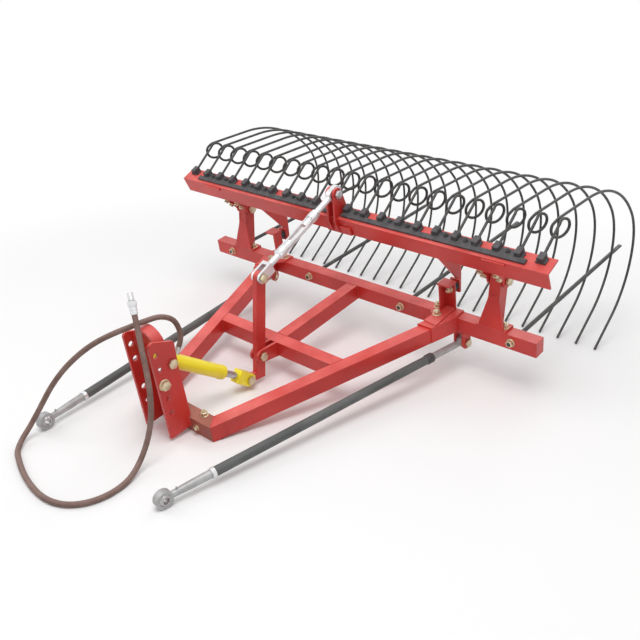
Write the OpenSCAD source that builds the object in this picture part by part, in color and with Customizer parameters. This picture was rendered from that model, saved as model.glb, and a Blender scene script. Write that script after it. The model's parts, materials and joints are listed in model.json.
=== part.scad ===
// Tractor-mounted spring-tine dump rake with a hydraulic lift.
// Everything is laid out in the chassis frame: X to the machine's left, Y rearward, Z up, with zero
// on the front top edge of the toolbar. The whole is then tipped onto the floor as it parks, nose down
// on its front member and on the tine tips. Points in the side view are [y, z].

/* [Frame] */
// Length of the rear toolbar
toolbar_len = 1640; // [1500:10:1700]
// Depth of every frame tube, front to rear
tube_w = 50; // [45:1:60]
// Height of every frame tube
tube_h = 60; // [50:1:65]
// Wall of every frame tube
tube_wall = 4; // [3:0.5:6]
// Distance from the toolbar's front face to the front member's front face
frame_len = 940; // [900:5:980]
// Half width across the side members at the toolbar
frame_rear_half = 497; // [480:1:510]
// Half width across the front member's front face
frame_front_half = 173; // [150:1:200]
// Distance from the toolbar's front face to the middle member's front face
middle_y = 468; // [440:1:500]

/* [Hitch] */
// Half width over the two hitch cheeks
cheek_half = 68; // [62:1:72]
// Thickness of a hitch cheek
cheek_t = 10; // [8:1:12]
// Height of the cheeks above the frame's top
cheek_top = 330; // [310:1:350]
// Radius of the holes for the hitch pins
hitch_hole_r = 10; // [8:0.5:12]
// Distance between the holes for the hitch pins
hitch_hole_pitch = 56; // [50:1:60]

/* [Draft rods] */
// Length of a draft rod between its pin and its ball
draft_len = 1285; // [1200:5:1350]
// Distance of a draft rod's pin from the middle of the machine
draft_pin_x = 505; // [490:1:520]
// Distance of a draft rod's ball from the middle of the machine
draft_ball_x = 315; // [290:1:340]
// Outer radius of a draft rod's tube
draft_tube_r = 16; // [14:0.5:18]
// Radius of the bore in a draft rod's ball
ball_bore_r = 11.05; // [10:0.05:12]

/* [Rake head] */
// Length of the angle bar that carries the tines
head_len = 1768; // [1740:4:1800]
// Leg of the angle bar
head_leg = 70; // [65:1:75]
// Thickness of the angle bar
head_t = 6; // [5:0.5:8]
// Slope of the angle bar's upper leg
head_slope = 18; // [14:0.5:20]
// Height of the head's pivot above the frame
pivot_z = 182; // [175:1:190]
// Distance of a pedestal from the middle of the machine
pedestal_x = 640; // [625:1:650]

/* [Tines] */
// Least room on the angle bar beyond the middle of its last tine
tine_end_room = 40; // [36:1:44]
// Distance between tines
tine_pitch = 80; // [76:1:82]
// Radius of the tine wire
wire_r = 5; // [4:0.25:6]
// Radius of the spring coil at the root, at the middle of the wire
coil_r = 33; // [28:1:38]
// Gap between the two wires beside each other at the coil's ends
coil_gap = 3; // [2:0.5:5]

/* [Strippers] */
// Radius of a stripper rod
stripper_r = 8; // [6:0.5:10]
// Length of a stripper rod behind the toolbar
stripper_len = 850; // [800:10:900]
// Fall of a stripper rod
stripper_fall = 2.5; // [1:0.5:4]

/* [Linkage] */
// Radius of the pins of the linkage
pin_r = 10; // [8:0.5:11]
// Thickness of the lever
lever_t = 20; // [16:1:22]
// Outer radius of the cylinder's barrel
barrel_r = 25; // [22:1:30]
// Radius of the piston rod
piston_rod_r = 12.5; // [10:0.5:14]

/* [Hidden] */
$fn = 48;

// Clearances
pin_gap = 0.05;
rest_gap = 0.3;
side_gap = 1;
pin_over = 6;
cut = 1;

// Colours
red = [0.62, 0.13, 0.11];
iron = [0.22, 0.22, 0.23];
wire_black = [0.08, 0.08, 0.09];
zinc = [0.72, 0.73, 0.74];
yellow = [0.86, 0.68, 0.12];
rubber = [0.06, 0.06, 0.06];
hose_brown = [0.3, 0.2, 0.16];

// Side members in plan
splay = (frame_rear_half - frame_front_half) / frame_len;
member_x = tube_w * sqrt(1 + splay * splay);
function side_x(y) = frame_rear_half + splay * y;
front_rear_y = -frame_len + tube_w;
middle_rear_y = -middle_y + tube_w;

// Head bar: the apex of the angle, and points in its own axes along the upper and the lower leg
pivot_set = 60;
head_ahead = 123;
head_rise = 143;
head_pivot = [pivot_set, pivot_z];
head_apex = head_pivot + [-head_ahead, head_rise];
along_upper = [cos(head_slope), sin(head_slope)];
along_lower = [sin(head_slope), -cos(head_slope)];
function on_head(u, v) = head_apex + u * along_upper + v * along_lower;

// Linkage in the side view, head lowered
lever_ahead = 76;
lever_drop = 16;
lever_rake = 69;
lever_rise = 294;
toe_reach = 78;
toe_drop = 59;
arm_set = 18;
arm_rise = 93;
base_ahead = 7;
base_drop = 106;
lever_pivot = [-middle_y - lever_ahead, -lever_drop];
lever_top = lever_pivot + [lever_rake, lever_rise];
lever_foot = lever_pivot - [toe_reach, toe_drop];
arm_pin_at = head_apex + [arm_set, arm_rise];
cylinder_base = [-frame_len - base_ahead, cheek_top - base_drop];
link_dir = atan2(arm_pin_at.y - lever_top.y, arm_pin_at.x - lever_top.x);
link_len = norm(arm_pin_at - lever_top);
cylinder_dir = atan2(lever_foot.y - cylinder_base.y, lever_foot.x - cylinder_base.x);
cylinder_len = norm(lever_foot - cylinder_base);
fork_t = 9;
fork_half = lever_t / 2 + side_gap + fork_t;
fork_throat = 44;
fork_crown = 14;

// As many tines on each side of the middle as the bar has room for
tines_per_side = floor((head_len / 2 - tine_end_room) / tine_pitch + 0.5);

// Tine: a root in its lug, a straight rise, a coil, then a straight, three bends and a straight tip
holder_rise = 14;
strip_u = [14, 34];
lug_u = [strip_u[1], head_leg - 4];
root_u = lug_u[0] + 4;
rise_start = on_head(lug_u[1] + 2, -holder_rise);
coil_centre = on_head(190, 1 - holder_rise);
coil_shift = 2 * wire_r + coil_gap;
coil_skew = 20;
coil_ease = 60;
rise_span = coil_centre - rise_start;
rise_dir = atan2(rise_span.y, rise_span.x) + asin(coil_r / norm(rise_span));
neck_dir = -5;
neck_len = 213;
bend_r = [529, 254, 320];
bend_deg = [50, 40, 55];
tip_len = 152;
coil_turn = 360 + rise_dir - neck_dir;
coil_steps = 16;
bend_steps = [5, 4, 6];
wire_sides = 6;
function bend_end(p, h, r, a) = p + r * [sin(h) - sin(h - a), cos(h - a) - cos(h)];
function coil_point(h) = coil_centre + coil_r * [-sin(h), cos(h)];
neck_end = coil_point(neck_dir) + neck_len * [cos(neck_dir), sin(neck_dir)];
bend_1 = bend_end(neck_end, neck_dir, bend_r[0], bend_deg[0]);
bend_2 = bend_end(bend_1, neck_dir - bend_deg[0], bend_r[1], bend_deg[1]);
bend_3 = bend_end(bend_2, neck_dir - bend_deg[0] - bend_deg[1], bend_r[2], bend_deg[2]);
tip_dir = neck_dir - bend_deg[0] - bend_deg[1] - bend_deg[2];
tine_tip = bend_3 + tip_len * [cos(tip_dir), sin(tip_dir)];
tine_contact = tine_tip + wire_r * [-sin(tip_dir), cos(tip_dir)];
function tine_x(i) = (i + 0.5) * tine_pitch;

// Parked on the front member's lower edge and the tine tips
front_contact = [-frame_len, -tube_h];
park_pitch = atan2(front_contact.y - tine_contact.y, tine_contact.x - front_contact.x);
park_z = -(front_contact.x * sin(park_pitch) + front_contact.y * cos(park_pitch));

// Draft rods: each turns on a cross pin under the toolbar and lies with its ball end on the floor
draft_pin_at = [20, -tube_h - 52];
draft_eye_r = 29;
draft_eye_w = 24;
floor_gap = 0.5;
draft_yaw = asin((draft_pin_x - draft_ball_x) / draft_len);
draft_rise = draft_eye_r + floor_gap - park_z
    - (draft_pin_at.x * sin(park_pitch) + draft_pin_at.y * cos(park_pitch));
draft_tan = cos(draft_yaw) * sin(park_pitch);
draft_pitch = atan2(draft_tan, cos(park_pitch))
    + asin(draft_rise / (draft_len * sqrt(draft_tan * draft_tan + pow(cos(park_pitch), 2))));

// Zero is under the middle of the machine, half way from the draft eyes' fronts to the stripper tips
function parked_y(p) = p.x * cos(park_pitch) - p.y * sin(park_pitch);
draft_reach = draft_len * cos(draft_pitch);
draft_ball_at = draft_pin_at + [-draft_reach * cos(draft_yaw), draft_len * sin(draft_pitch)];
eye_axis_y = sin(draft_yaw) * cos(park_pitch);
draft_eye_reach = draft_eye_r * sqrt(1 - eye_axis_y * eye_axis_y) + draft_eye_w / 2 * eye_axis_y;
stripper_at = [0, -tube_h / 2];
stripper_tip_t = 8;
stripper_end = stripper_at + (tube_w + stripper_len) * [cos(stripper_fall), -sin(stripper_fall)]
    - stripper_tip_t / 2 * [sin(stripper_fall), cos(stripper_fall)];
park_y = -(parked_y(draft_ball_at) - draft_eye_reach + parked_y(stripper_end)) / 2;
module park() {
    translate([0, park_y, park_z]) rotate([park_pitch, 0, 0]) children();
}

// Shared shapes

// Outline of two round ends and a straight-sided bar between them, a hair narrower than the ends
module strap(p, p_r, q, q_r) {
    shy = 0.5;
    a = atan2(q.y - p.y, q.x - p.x);
    b = acos((p_r - q_r) / norm(q - p));
    polygon([
        p + (p_r - shy) * [cos(a + b), sin(a + b)], q + (q_r - shy) * [cos(a + b), sin(a + b)],
        q + (q_r - shy) * [cos(a - b), sin(a - b)], p + (p_r - shy) * [cos(a - b), sin(a - b)]]);
    translate(p) circle(p_r);
    translate(q) circle(q_r);
}

// Side-view outline made into a plate that spans X from x to x + t
module plate(x, t) {
    translate([x, 0, 0]) rotate([90, 0, 90]) linear_extrude(t) children();
}

// The same plate on both sides of X = 0, between half widths inner and outer
module plate_pair(inner, outer) {
    plate(inner, outer - inner) children();
    plate(-outer, outer - inner) children();
}

// Cylinder along X through the side-view point p
module cross_pin(p, r, x0, x1) {
    translate([x0, p.x, p.y]) rotate([0, 90, 0]) cylinder(r = r, h = x1 - x0);
}

module both_sides() {
    children();
    mirror([1, 0, 0]) children();
}

// Rectangular tube between two plan outlines, open at its ends
module tube(outer, inner) {
    difference() {
        translate([0, 0, -tube_h]) linear_extrude(tube_h) polygon(outer);
        translate([0, 0, tube_wall - tube_h]) linear_extrude(tube_h - 2 * tube_wall) polygon(inner);
    }
}

// Local frame at side-view point p with Y turned to the given slope
module at_slope(p, slope) {
    translate([0, p.x, p.y]) rotate([slope, 0, 0]) children();
}

// Round bar along the local Y from y0 to y1
module bar_y(r, y0, y1) {
    translate([0, y0, 0]) rotate([-90, 0, 0]) cylinder(r = r, h = y1 - y0);
}

// Round wire along a path of points, on frames carried along it without twist
function unit(v) = v / norm(v);
function path_dir(path, i) = unit(path[min(i + 1, len(path) - 1)] - path[max(i - 1, 0)]);
function square_to(v, t) = unit(v - (v * t) * t);
function path_normals(path, last, i) = i == len(path) ? [] :
    let (n = square_to(last, path_dir(path, i))) concat([n], path_normals(path, n, i + 1));

module sweep(path, r, sides) {
    rings = len(path);
    first = abs(path_dir(path, 0).x) < 0.9 ? [1, 0, 0] : [0, 0, 1];
    normals = path_normals(path, first, 0);
    points = [
        for (i = [0 : rings - 1], k = [0 : sides - 1])
            let (n = normals[i], b = cross(path_dir(path, i), n), a = 90 + 360 * k / sides)
            path[i] + r * (cos(a) * n + sin(a) * b)];
    walls = [
        for (i = [0 : rings - 2], k = [0 : sides - 1])
            let (a = i * sides + k, b = i * sides + (k + 1) % sides)
            each [[a, b + sides, b], [a, a + sides, b + sides]]];
    polyhedron(points, concat(
        [[for (k = [0 : sides - 1]) k]], walls,
        [[for (k = [sides - 1 : -1 : 0]) (rings - 1) * sides + k]]));
}

// Frame

module toolbar() {
    half = toolbar_len / 2;
    over = half + cut;
    y1 = tube_w - tube_wall;
    color(red) park() difference() {
        tube(
            [[-half, 0], [half, 0], [half, tube_w], [-half, tube_w]],
            [[-over, tube_wall], [over, tube_wall], [over, y1], [-over, y1]]);
        for (x = stripper_x) translate([x, 0, 0]) at_slope(stripper_at, -stripper_fall)
            bar_y(stripper_r + pin_gap, -tube_w, 2 * tube_w);
    }
}

module side_members() {
    wall_x = tube_wall * sqrt(1 + splay * splay);
    over_y = front_rear_y - cut;
    color(red) park() both_sides() tube(
        [[side_x(0), 0], [side_x(front_rear_y), front_rear_y],
         [side_x(front_rear_y) - member_x, front_rear_y], [side_x(0) - member_x, 0]],
        [[side_x(cut) - wall_x, cut], [side_x(over_y) - wall_x, over_y],
         [side_x(over_y) - member_x + wall_x, over_y], [side_x(cut) - member_x + wall_x, cut]]);
}

module front_member() {
    y0 = -frame_len + tube_wall;
    y1 = front_rear_y - tube_wall;
    color(red) park() tube(
        [[-side_x(-frame_len), -frame_len], [side_x(-frame_len), -frame_len],
         [side_x(front_rear_y), front_rear_y], [-side_x(front_rear_y), front_rear_y]],
        [[-side_x(y0) - cut, y0], [side_x(y0) + cut, y0], [side_x(y1) + cut, y1], [-side_x(y1) - cut, y1]]);
}

module middle_member() {
    y0 = -middle_y + tube_wall;
    y1 = middle_rear_y - tube_wall;
    function inner_x(y) = side_x(y) - member_x;
    color(red) park() tube(
        [[-inner_x(-middle_y), -middle_y], [inner_x(-middle_y), -middle_y],
         [inner_x(middle_rear_y), middle_rear_y], [-inner_x(middle_rear_y), middle_rear_y]],
        [[-inner_x(y0) - cut, y0], [inner_x(y0) + cut, y0],
         [inner_x(y1) + cut, y1], [-inner_x(y1) - cut, y1]]);
}

module centre_member() {
    w = tube_w / 2;
    v = w - tube_wall;
    color(red) park() tube(
        [[-w, middle_rear_y], [w, middle_rear_y], [w, 0], [-w, 0]],
        [[-v, middle_rear_y - cut], [v, middle_rear_y - cut], [v, cut], [-v, cut]]);
}

// Plugs in the open ends of the toolbar and the front member
module tube_caps() {
    cap_t = 4;
    cap_h = tube_h - 2 * tube_wall;
    y0 = -frame_len + tube_wall;
    y1 = front_rear_y - tube_wall;
    color(red) park() both_sides() translate([0, 0, tube_wall - tube_h]) {
        translate([toolbar_len / 2 - cap_t, tube_wall, 0]) cube([cap_t, tube_w - 2 * tube_wall, cap_h]);
        linear_extrude(cap_h) polygon(
            [[side_x(y0) - cap_t, y0], [side_x(y0), y0], [side_x(y1), y1], [side_x(y1) - cap_t, y1]]);
    }
}

// Plates over the corners where the side members meet the toolbar
gusset_t = 6;
module corner_gussets() {
    reach = 120;
    color(red) park() both_sides() linear_extrude(gusset_t) polygon(
        [[side_x(0) - member_x, -reach / 2], [side_x(-reach / 2), -reach / 2], [side_x(0), 0],
         [side_x(0), tube_w], [side_x(0) - reach, tube_w], [side_x(0) - reach, 0]]);
}

// Hitch

hitch_hole_at = [-frame_len - 55, cheek_top - 48];
// Rows of the open holes; a bolt stays in the row between them
hitch_rows = [0, 1, 3, 4];
spacer_r = 20;
base_eye_half = 20;
cheek_inner = cheek_half - cheek_t;
cheek_foot_z = -35;

// Upright plate against the front member, stepped back over its top edge
module cheek_outline() {
    corner_r = 16;
    foot_reach = 84;
    top_reach = 74;
    top_back = 20;
    back_top = cheek_top - 32;
    nick = 7;
    shelf = [10, 12];
    waist = [12, 190];
    translate([-frame_len, 0]) polygon([
        [-foot_reach, cheek_foot_z], [0, cheek_foot_z], [0, 0], shelf, waist,
        [top_back, back_top - nick], [top_back - nick, back_top],
        for (a = [60 : 15 : 180])
            [corner_r - top_reach, cheek_top - corner_r] + corner_r * [cos(a), sin(a)]]);
}

module hitch_cheeks() {
    over = 2 * cheek_half;
    color(red) park() difference() {
        plate_pair(cheek_inner, cheek_half) cheek_outline();
        for (i = hitch_rows)
            cross_pin(hitch_hole_at - [0, i * hitch_hole_pitch], hitch_hole_r, -over, over);
        cross_pin(cylinder_base, pin_r + pin_gap, -over, over);
    }
}

module hitch_web() {
    web_t = 10;
    web_top = 150;
    color(red) park() translate([-cheek_inner, -frame_len - web_t, cheek_foot_z])
        cube([2 * cheek_inner, web_t, web_top - cheek_foot_z]);
}

// Bent strip over the top between the cheeks, behind the highest hitch hole
module hitch_arch() {
    arch_t = 8;
    arch_w = 38;
    leg = 20;
    arch_y = -frame_len - 43;
    arch_z = cheek_top - 40;
    color(red) park() translate([0, arch_y + arch_w, arch_z]) rotate([90, 0, 0]) linear_extrude(arch_w) {
        difference() {
            circle(cheek_inner);
            circle(cheek_inner - arch_t);
            translate([-cheek_half, -2 * cheek_half]) square([2 * cheek_half, 2 * cheek_half]);
        }
        for (x = [-cheek_inner, cheek_inner - arch_t]) translate([x, -leg]) square([arch_t, leg]);
    }
}

// Spacers that keep the cylinder's eye in the middle of its pin
module cylinder_spacers() {
    color(red) park() both_sides() difference() {
        cross_pin(cylinder_base, spacer_r, base_eye_half + side_gap, cheek_inner);
        cross_pin(cylinder_base, pin_r + pin_gap, 0, cheek_half);
    }
}

module cylinder_pin() {
    half = cheek_half + pin_over;
    color(zinc) park() cross_pin(cylinder_base, pin_r, -half, half);
}

// Two plates on the middle member that carry the lever
lever_lug_t = 10;
module lever_lug() {
    lug_r = 26;
    inner = lever_t / 2 + side_gap;
    color(red) park() difference() {
        plate_pair(inner, inner + lever_lug_t) {
            translate(lever_pivot) circle(lug_r);
            polygon([
                lever_pivot + [0, lug_r], [-middle_y, 0], [-middle_y, -tube_h], lever_pivot - [0, lug_r]]);
        }
        cross_pin(lever_pivot, pin_r + pin_gap, -tube_w, tube_w);
    }
}

module lever_pin() {
    half = lever_t / 2 + side_gap + lever_lug_t + pin_over;
    color(zinc) park() cross_pin(lever_pivot, pin_r, -half, half);
}

// Draft rods

draft_pin_r = 9;
draft_eye_half = 14;
draft_lug_t = 8;

// Frame of one draft rod's pin, its Y along the rod seen from above
module at_draft_pin() {
    translate([draft_pin_x, draft_pin_at.x, draft_pin_at.y]) rotate([0, 0, -draft_yaw]) children();
}

module draft_lugs() {
    lug_r = 22;
    top_half = 19;
    drop = -tube_h - draft_pin_at.y;
    color(red) park() both_sides() at_draft_pin() difference() {
        plate_pair(draft_eye_half + side_gap, draft_eye_half + side_gap + draft_lug_t) {
            circle(lug_r);
            polygon([[-lug_r, 0], [lug_r, 0], [top_half, drop], [-top_half, drop]]);
        }
        cross_pin([0, 0], draft_pin_r + pin_gap, -tube_w, tube_w);
    }
}

module draft_pins() {
    half = draft_eye_half + side_gap + draft_lug_t + pin_over;
    color(zinc) park() both_sides() at_draft_pin() cross_pin([0, 0], draft_pin_r, -half, half);
}

// Frame of one rod, its Y along the rod towards the front ball
module along_draft_rod() {
    at_draft_pin() rotate([-draft_pitch, 0, 0]) mirror([0, 1, 0]) children();
}

draft_ball_r = 22;
draft_tube_start = 170;
draft_tube_end = draft_len - draft_tube_start;

// Forged rear eye, screwed shank and front eye
module draft_rod() {
    rear_r = 20;
    shank_r = 11;
    difference() {
        union() {
            cross_pin([0, 0], rear_r, -draft_eye_half, draft_eye_half);
            bar_y(shank_r, 0, draft_tube_start);
        }
        cross_pin([0, 0], draft_pin_r + pin_gap, -tube_w, tube_w);
    }
    difference() {
        bar_y(shank_r, draft_tube_end, draft_len);
        cross_pin([draft_len, 0], (draft_eye_r + draft_ball_r) / 2, -tube_w, tube_w);
    }
    inside_r = draft_ball_r / 2;
    translate([0, draft_len, 0]) rotate([0, 90, 0]) rotate_extrude() difference() {
        translate([inside_r, -draft_eye_w / 2]) square([draft_eye_r - inside_r, draft_eye_w]);
        circle(draft_ball_r + rest_gap);
    }
}

module draft_tube() {
    bar_y(draft_tube_r, draft_tube_start, draft_tube_end);
}

// Ball with its bore along X
module draft_ball() {
    ball_half = 16;
    rotate([0, 90, 0]) rotate_extrude() intersection() {
        circle(draft_ball_r);
        translate([ball_bore_r, -ball_half]) square([draft_ball_r, 2 * ball_half]);
    }
}

module at_draft_ball() {
    translate([draft_pin_x - draft_reach * sin(draft_yaw), draft_ball_at.x, draft_ball_at.y]) children();
}

module right_draft_rod() { color(zinc) park() mirror([1, 0, 0]) along_draft_rod() draft_rod(); }
module right_draft_tube() { color(wire_black) park() mirror([1, 0, 0]) along_draft_rod() draft_tube(); }
module right_draft_ball() { color(zinc) park() mirror([1, 0, 0]) at_draft_ball() draft_ball(); }
module left_draft_rod() { color(zinc) park() along_draft_rod() draft_rod(); }
module left_draft_tube() { color(wire_black) park() along_draft_rod() draft_tube(); }
module left_draft_ball() { color(zinc) park() at_draft_ball() draft_ball(); }

// Pedestals and buffers

pivot_pin_r = 12.5;
pedestal_inner = 14;
pedestal_t = 8;
bracket_t = 8;
bracket_gap = 5;
bracket_inner = pedestal_inner + pedestal_t + bracket_gap;

module pedestals() {
    base_half = 60;
    base_t = 8;
    base_d = tube_w + 6;
    head_r = 26;
    foot_half = 26;
    skirt = 52;
    skirt_h = 122;
    narrow = pedestal_inner + pedestal_t / 2;
    sink = 4;
    proud = 1.5;
    mid = tube_w / 2;
    front = [mid - foot_half, base_t];
    lean = atan2(head_pivot.x - head_r - front.x, head_pivot.y - front.y);
    skirt_len = (skirt_h + sink) / cos(lean);
    color(red) park() both_sides() translate([pedestal_x, 0, 0]) difference() {
        union() {
            translate([-base_half, mid - base_d / 2, 0]) cube([2 * base_half, base_d, base_t]);
            plate_pair(pedestal_inner, pedestal_inner + pedestal_t) {
                translate(head_pivot) circle(head_r);
                polygon([
                    [mid - foot_half, base_t], [mid + foot_half, base_t],
                    head_pivot + [head_r, 0], head_pivot - [head_r, 0]]);
            }
            translate([0, front.x - proud, base_t - sink]) rotate([90 - lean, 0, 0])
                translate([0, 0, -pedestal_t]) linear_extrude(pedestal_t) polygon(
                    [[-skirt, 0], [skirt, 0], [narrow, skirt_len], [-narrow, skirt_len]]);
        }
        cross_pin(head_pivot, pivot_pin_r + pin_gap, -base_half, base_half);
    }
}

module pivot_pins() {
    half = bracket_inner + bracket_t + pin_over;
    color(zinc) park() both_sides() translate([pedestal_x, 0, 0])
        cross_pin(head_pivot, pivot_pin_r, -half, half);
}

buffer_x = frame_rear_half - 52;
post_w = 45;
post_h = 115;
post_t = 6;
buffer_len = 28;
buffer_r = 18;
buffer_z = 88;
buffer_face_y = post_w + buffer_len;

// Angle posts on the corner plates, each under a small top plate
module buffer_posts() {
    lip = 4;
    color(red) park() both_sides() translate([buffer_x - post_w / 2, 0, gusset_t]) {
        translate([0, post_w - post_t, 0]) cube([post_w, post_t, post_h]);
        cube([post_t, post_w - post_t, post_h]);
        translate([-lip, -lip, post_h]) cube([post_w + 2 * lip, post_w + lip, post_t]);
    }
}

module buffers() {
    color(rubber) park() both_sides() translate([buffer_x, 0, buffer_z])
        bar_y(buffer_r, post_w, buffer_face_y);
}

// Strippers

stripper_x = [-9 * tine_pitch, -3 * tine_pitch, 3 * tine_pitch, 9 * tine_pitch];

// Rods through the toolbar, between the tines, with flattened tips
module stripper_rods() {
    stub = 16;
    tip = 60;
    color(wire_black) park() for (x = stripper_x) translate([x, 0, 0]) at_slope(stripper_at, -stripper_fall)
        difference() {
            bar_y(stripper_r, -stub, tube_w + stripper_len);
            for (side = [0, 180]) rotate([0, side, 0])
                translate([-2 * stripper_r, tube_w + stripper_len - tip, stripper_tip_t / 2])
                    cube([4 * stripper_r, tip + cut, 2 * stripper_r]);
        }
}

// Rake head

module head_bar() {
    color(red) park() plate(-head_len / 2, head_len) polygon([
        on_head(0, 0), on_head(head_leg, 0), on_head(head_leg, head_t), on_head(head_t, head_t),
        on_head(head_t, head_leg), on_head(0, head_leg)]);
}

// Plates inside the angle bar, down to the pivot pins
module pivot_brackets() {
    eye_r = 28;
    edge = 4;
    leg = head_leg - edge;
    color(red) park() both_sides() translate([pedestal_x, 0, 0]) difference() {
        plate_pair(bracket_inner, bracket_inner + bracket_t) {
            translate(head_pivot) circle(eye_r);
            polygon([
                on_head(head_t, head_t), on_head(leg, head_t), head_pivot + [eye_r, 0],
                head_pivot - [eye_r, 0], on_head(head_t, leg)]);
        }
        cross_pin(head_pivot, pivot_pin_r + pin_gap, -tube_w, tube_w);
    }
}

// Upright arm that the lift link pulls on. It stands on the bar's top and front faces, with a shoe on the
// front face and a gusset inside the angle.
arm_inner = 12;
arm_t = 8;
module head_arm() {
    eye_r = 24;
    edge = 2;
    foot = head_leg - edge;
    gusset_drop = 120;
    toe = [-12, head_leg - 10];
    instep = [-16, 8];
    shoe_x = [-46, 74];
    shoe = [8, 32];
    shoe_edge = 4;
    color(red) park() difference() {
        union() {
            plate_pair(arm_inner, arm_inner + arm_t) {
                translate(arm_pin_at) circle(eye_r);
                polygon([
                    on_head(0, 0), on_head(0, toe.y), on_head(toe.x, toe.y), on_head(instep.x, instep.y),
                    arm_pin_at - eye_r * along_upper, arm_pin_at + eye_r * along_upper, on_head(foot, 0)]);
                polygon([
                    on_head(head_t, head_t), on_head(foot, head_t), on_head(foot, gusset_drop / 2),
                    on_head(foot / 2, gusset_drop), on_head(head_t, head_leg)]);
            }
            at_slope(head_apex, head_slope) translate([shoe_x[0], -shoe[0], shoe_edge - head_leg])
                cube([shoe_x[1] - shoe_x[0], shoe[0], shoe[1]]);
        }
        cross_pin(arm_pin_at, pin_r + pin_gap, -tube_w, tube_w);
    }
}

module arm_pin() {
    half = arm_inner + arm_t + pin_over;
    color(zinc) park() cross_pin(arm_pin_at, pin_r, -half, half);
}

// Arms that come down behind the buffers and stop the head when it is lowered
module stop_arms() {
    arm_half = 5;
    pad_half = 20;
    pad_t = 10;
    pad_h = 52;
    pad_z = buffer_z - pad_h / 2;
    pad_y = buffer_face_y + rest_gap;
    arm_y = pad_y + pad_t;
    toe = 23;
    knee = [29, 88];
    edge = 8;
    color(red) park() both_sides() translate([buffer_x, 0, 0]) {
        plate(-arm_half, 2 * arm_half) polygon([
            on_head(head_t, head_t), on_head(head_leg - edge, head_t), [arm_y, pad_z] + knee,
            [arm_y + toe, pad_z], [arm_y, pad_z], [arm_y, pad_z + pad_h], on_head(head_t, head_leg - edge)]);
        translate([-pad_half, pad_y, pad_z]) cube([2 * pad_half, pad_t, pad_h]);
    }
}

// Clamping strip along the upper leg, with cast lugs behind it: castings of three tines each, a pair where
// the count doesn't come out, and a single lug beyond each end of the strip
arm_room = arm_inner + arm_t + 6;
last_tine = 2 * tines_per_side - 1;
function row_x(i) = (i - last_tine / 2) * tine_pitch;

module tine_lugs(xs) {
    base_t = 6;
    lug_half = 11;
    lug_h = 24;
    edge = 18;
    difference() {
        union() {
            translate([min(xs) - edge, lug_u[0], 0])
                cube([max(xs) - min(xs) + 2 * edge, lug_u[1] - lug_u[0] - base_t, base_t]);
            for (x = xs) translate([x - lug_half, lug_u[0], 0])
                cube([2 * lug_half, lug_u[1] - lug_u[0], lug_h]);
        }
        for (x = xs) translate([x, 0, holder_rise])
            bar_y(wire_r + pin_gap, root_u - cut / 2, 2 * head_leg);
    }
}

module tine_holders() {
    strip_t = 8;
    strip_half = row_x(last_tine - 1) + 36;
    color(iron) park() at_slope(head_apex, head_slope) difference() {
        union() {
            translate([-strip_half, strip_u[0], 0]) cube([2 * strip_half, strip_u[1] - strip_u[0], strip_t]);
            for (i = [1 : 3 : last_tine - 1])
                tine_lugs([for (j = [i : min(i + 2, last_tine - 1)]) row_x(j)]);
            for (i = [0, last_tine]) tine_lugs([row_x(i)]);
        }
        translate([-arm_room, 0, -cut]) cube([2 * arm_room, 2 * head_leg, head_leg]);
    }
}

// Points along one tine's wire
function bend_points(p, h, i) =
    [for (k = [1 : bend_steps[i]]) bend_end(p, h, bend_r[i], bend_deg[i] * k / bend_steps[i])];
function tine_path() = concat(
    [on_head(root_u, -holder_rise), rise_start],
    [for (k = [0 : coil_steps]) coil_point(rise_dir - coil_turn * k / coil_steps)],
    [neck_end],
    bend_points(neck_end, neck_dir, 0),
    bend_points(bend_1, neck_dir - bend_deg[0], 1),
    bend_points(bend_2, neck_dir - bend_deg[0] - bend_deg[1], 2),
    [tine_tip]);

// Sideways place of each of those points: the coil moves the wire over, and sits askew between its ends
function tine_shift(i, p) = let (
    t = coil_turn * min(max((i - 2) / coil_steps, 0), 1),
    ease = min(1, t / coil_ease, (coil_turn - t) / coil_ease))
    tan(coil_skew) * (p.x - coil_centre.x) * ease - coil_shift * t / 360;

module tine() {
    path = tine_path();
    sweep([for (i = [0 : len(path) - 1]) [tine_shift(i, path[i]), path[i].x, path[i].y]], wire_r, wire_sides);
}

module tines_left() {
    color(wire_black) park() for (i = [0 : tines_per_side - 1]) translate([tine_x(i), 0, 0]) tine();
}

module tines_right() {
    color(wire_black) park() for (i = [0 : tines_per_side - 1]) translate([-tine_x(i), 0, 0]) tine();
}

// Lever, link and cylinder

// Straight bar from the link's pin down past the pivot, with a toe forward to the cylinder's pin
module lever() {
    half = 22;
    foot_r = 20;
    heel_len = 92;
    notch = 27;
    up = unit(lever_top - lever_pivot);
    ahead = [-up.y, up.x];
    up_deg = atan2(up.y, up.x);
    heel = lever_pivot - heel_len * up;
    toe_deg = atan2(lever_foot.y - heel.y, lever_foot.x - heel.x);
    color(red) park() difference() {
        plate(-lever_t / 2, lever_t) polygon([
            for (a = [-90 : 15 : 90]) lever_top + half * [cos(up_deg + a), sin(up_deg + a)],
            heel + half * ahead + notch * up,
            for (a = [-90 : 15 : 90]) lever_foot + foot_r * [cos(toe_deg + a), sin(toe_deg + a)],
            heel - half * ahead]);
        for (p = [lever_pivot, lever_top, lever_foot]) cross_pin(p, pin_r + pin_gap, -tube_w, tube_w);
    }
}

module fork_pin(p) {
    half = fork_half + pin_over;
    color(zinc) park() cross_pin(p, pin_r, -half, half);
}

module lever_top_pin() { fork_pin(lever_top); }
module lever_foot_pin() { fork_pin(lever_foot); }

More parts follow.
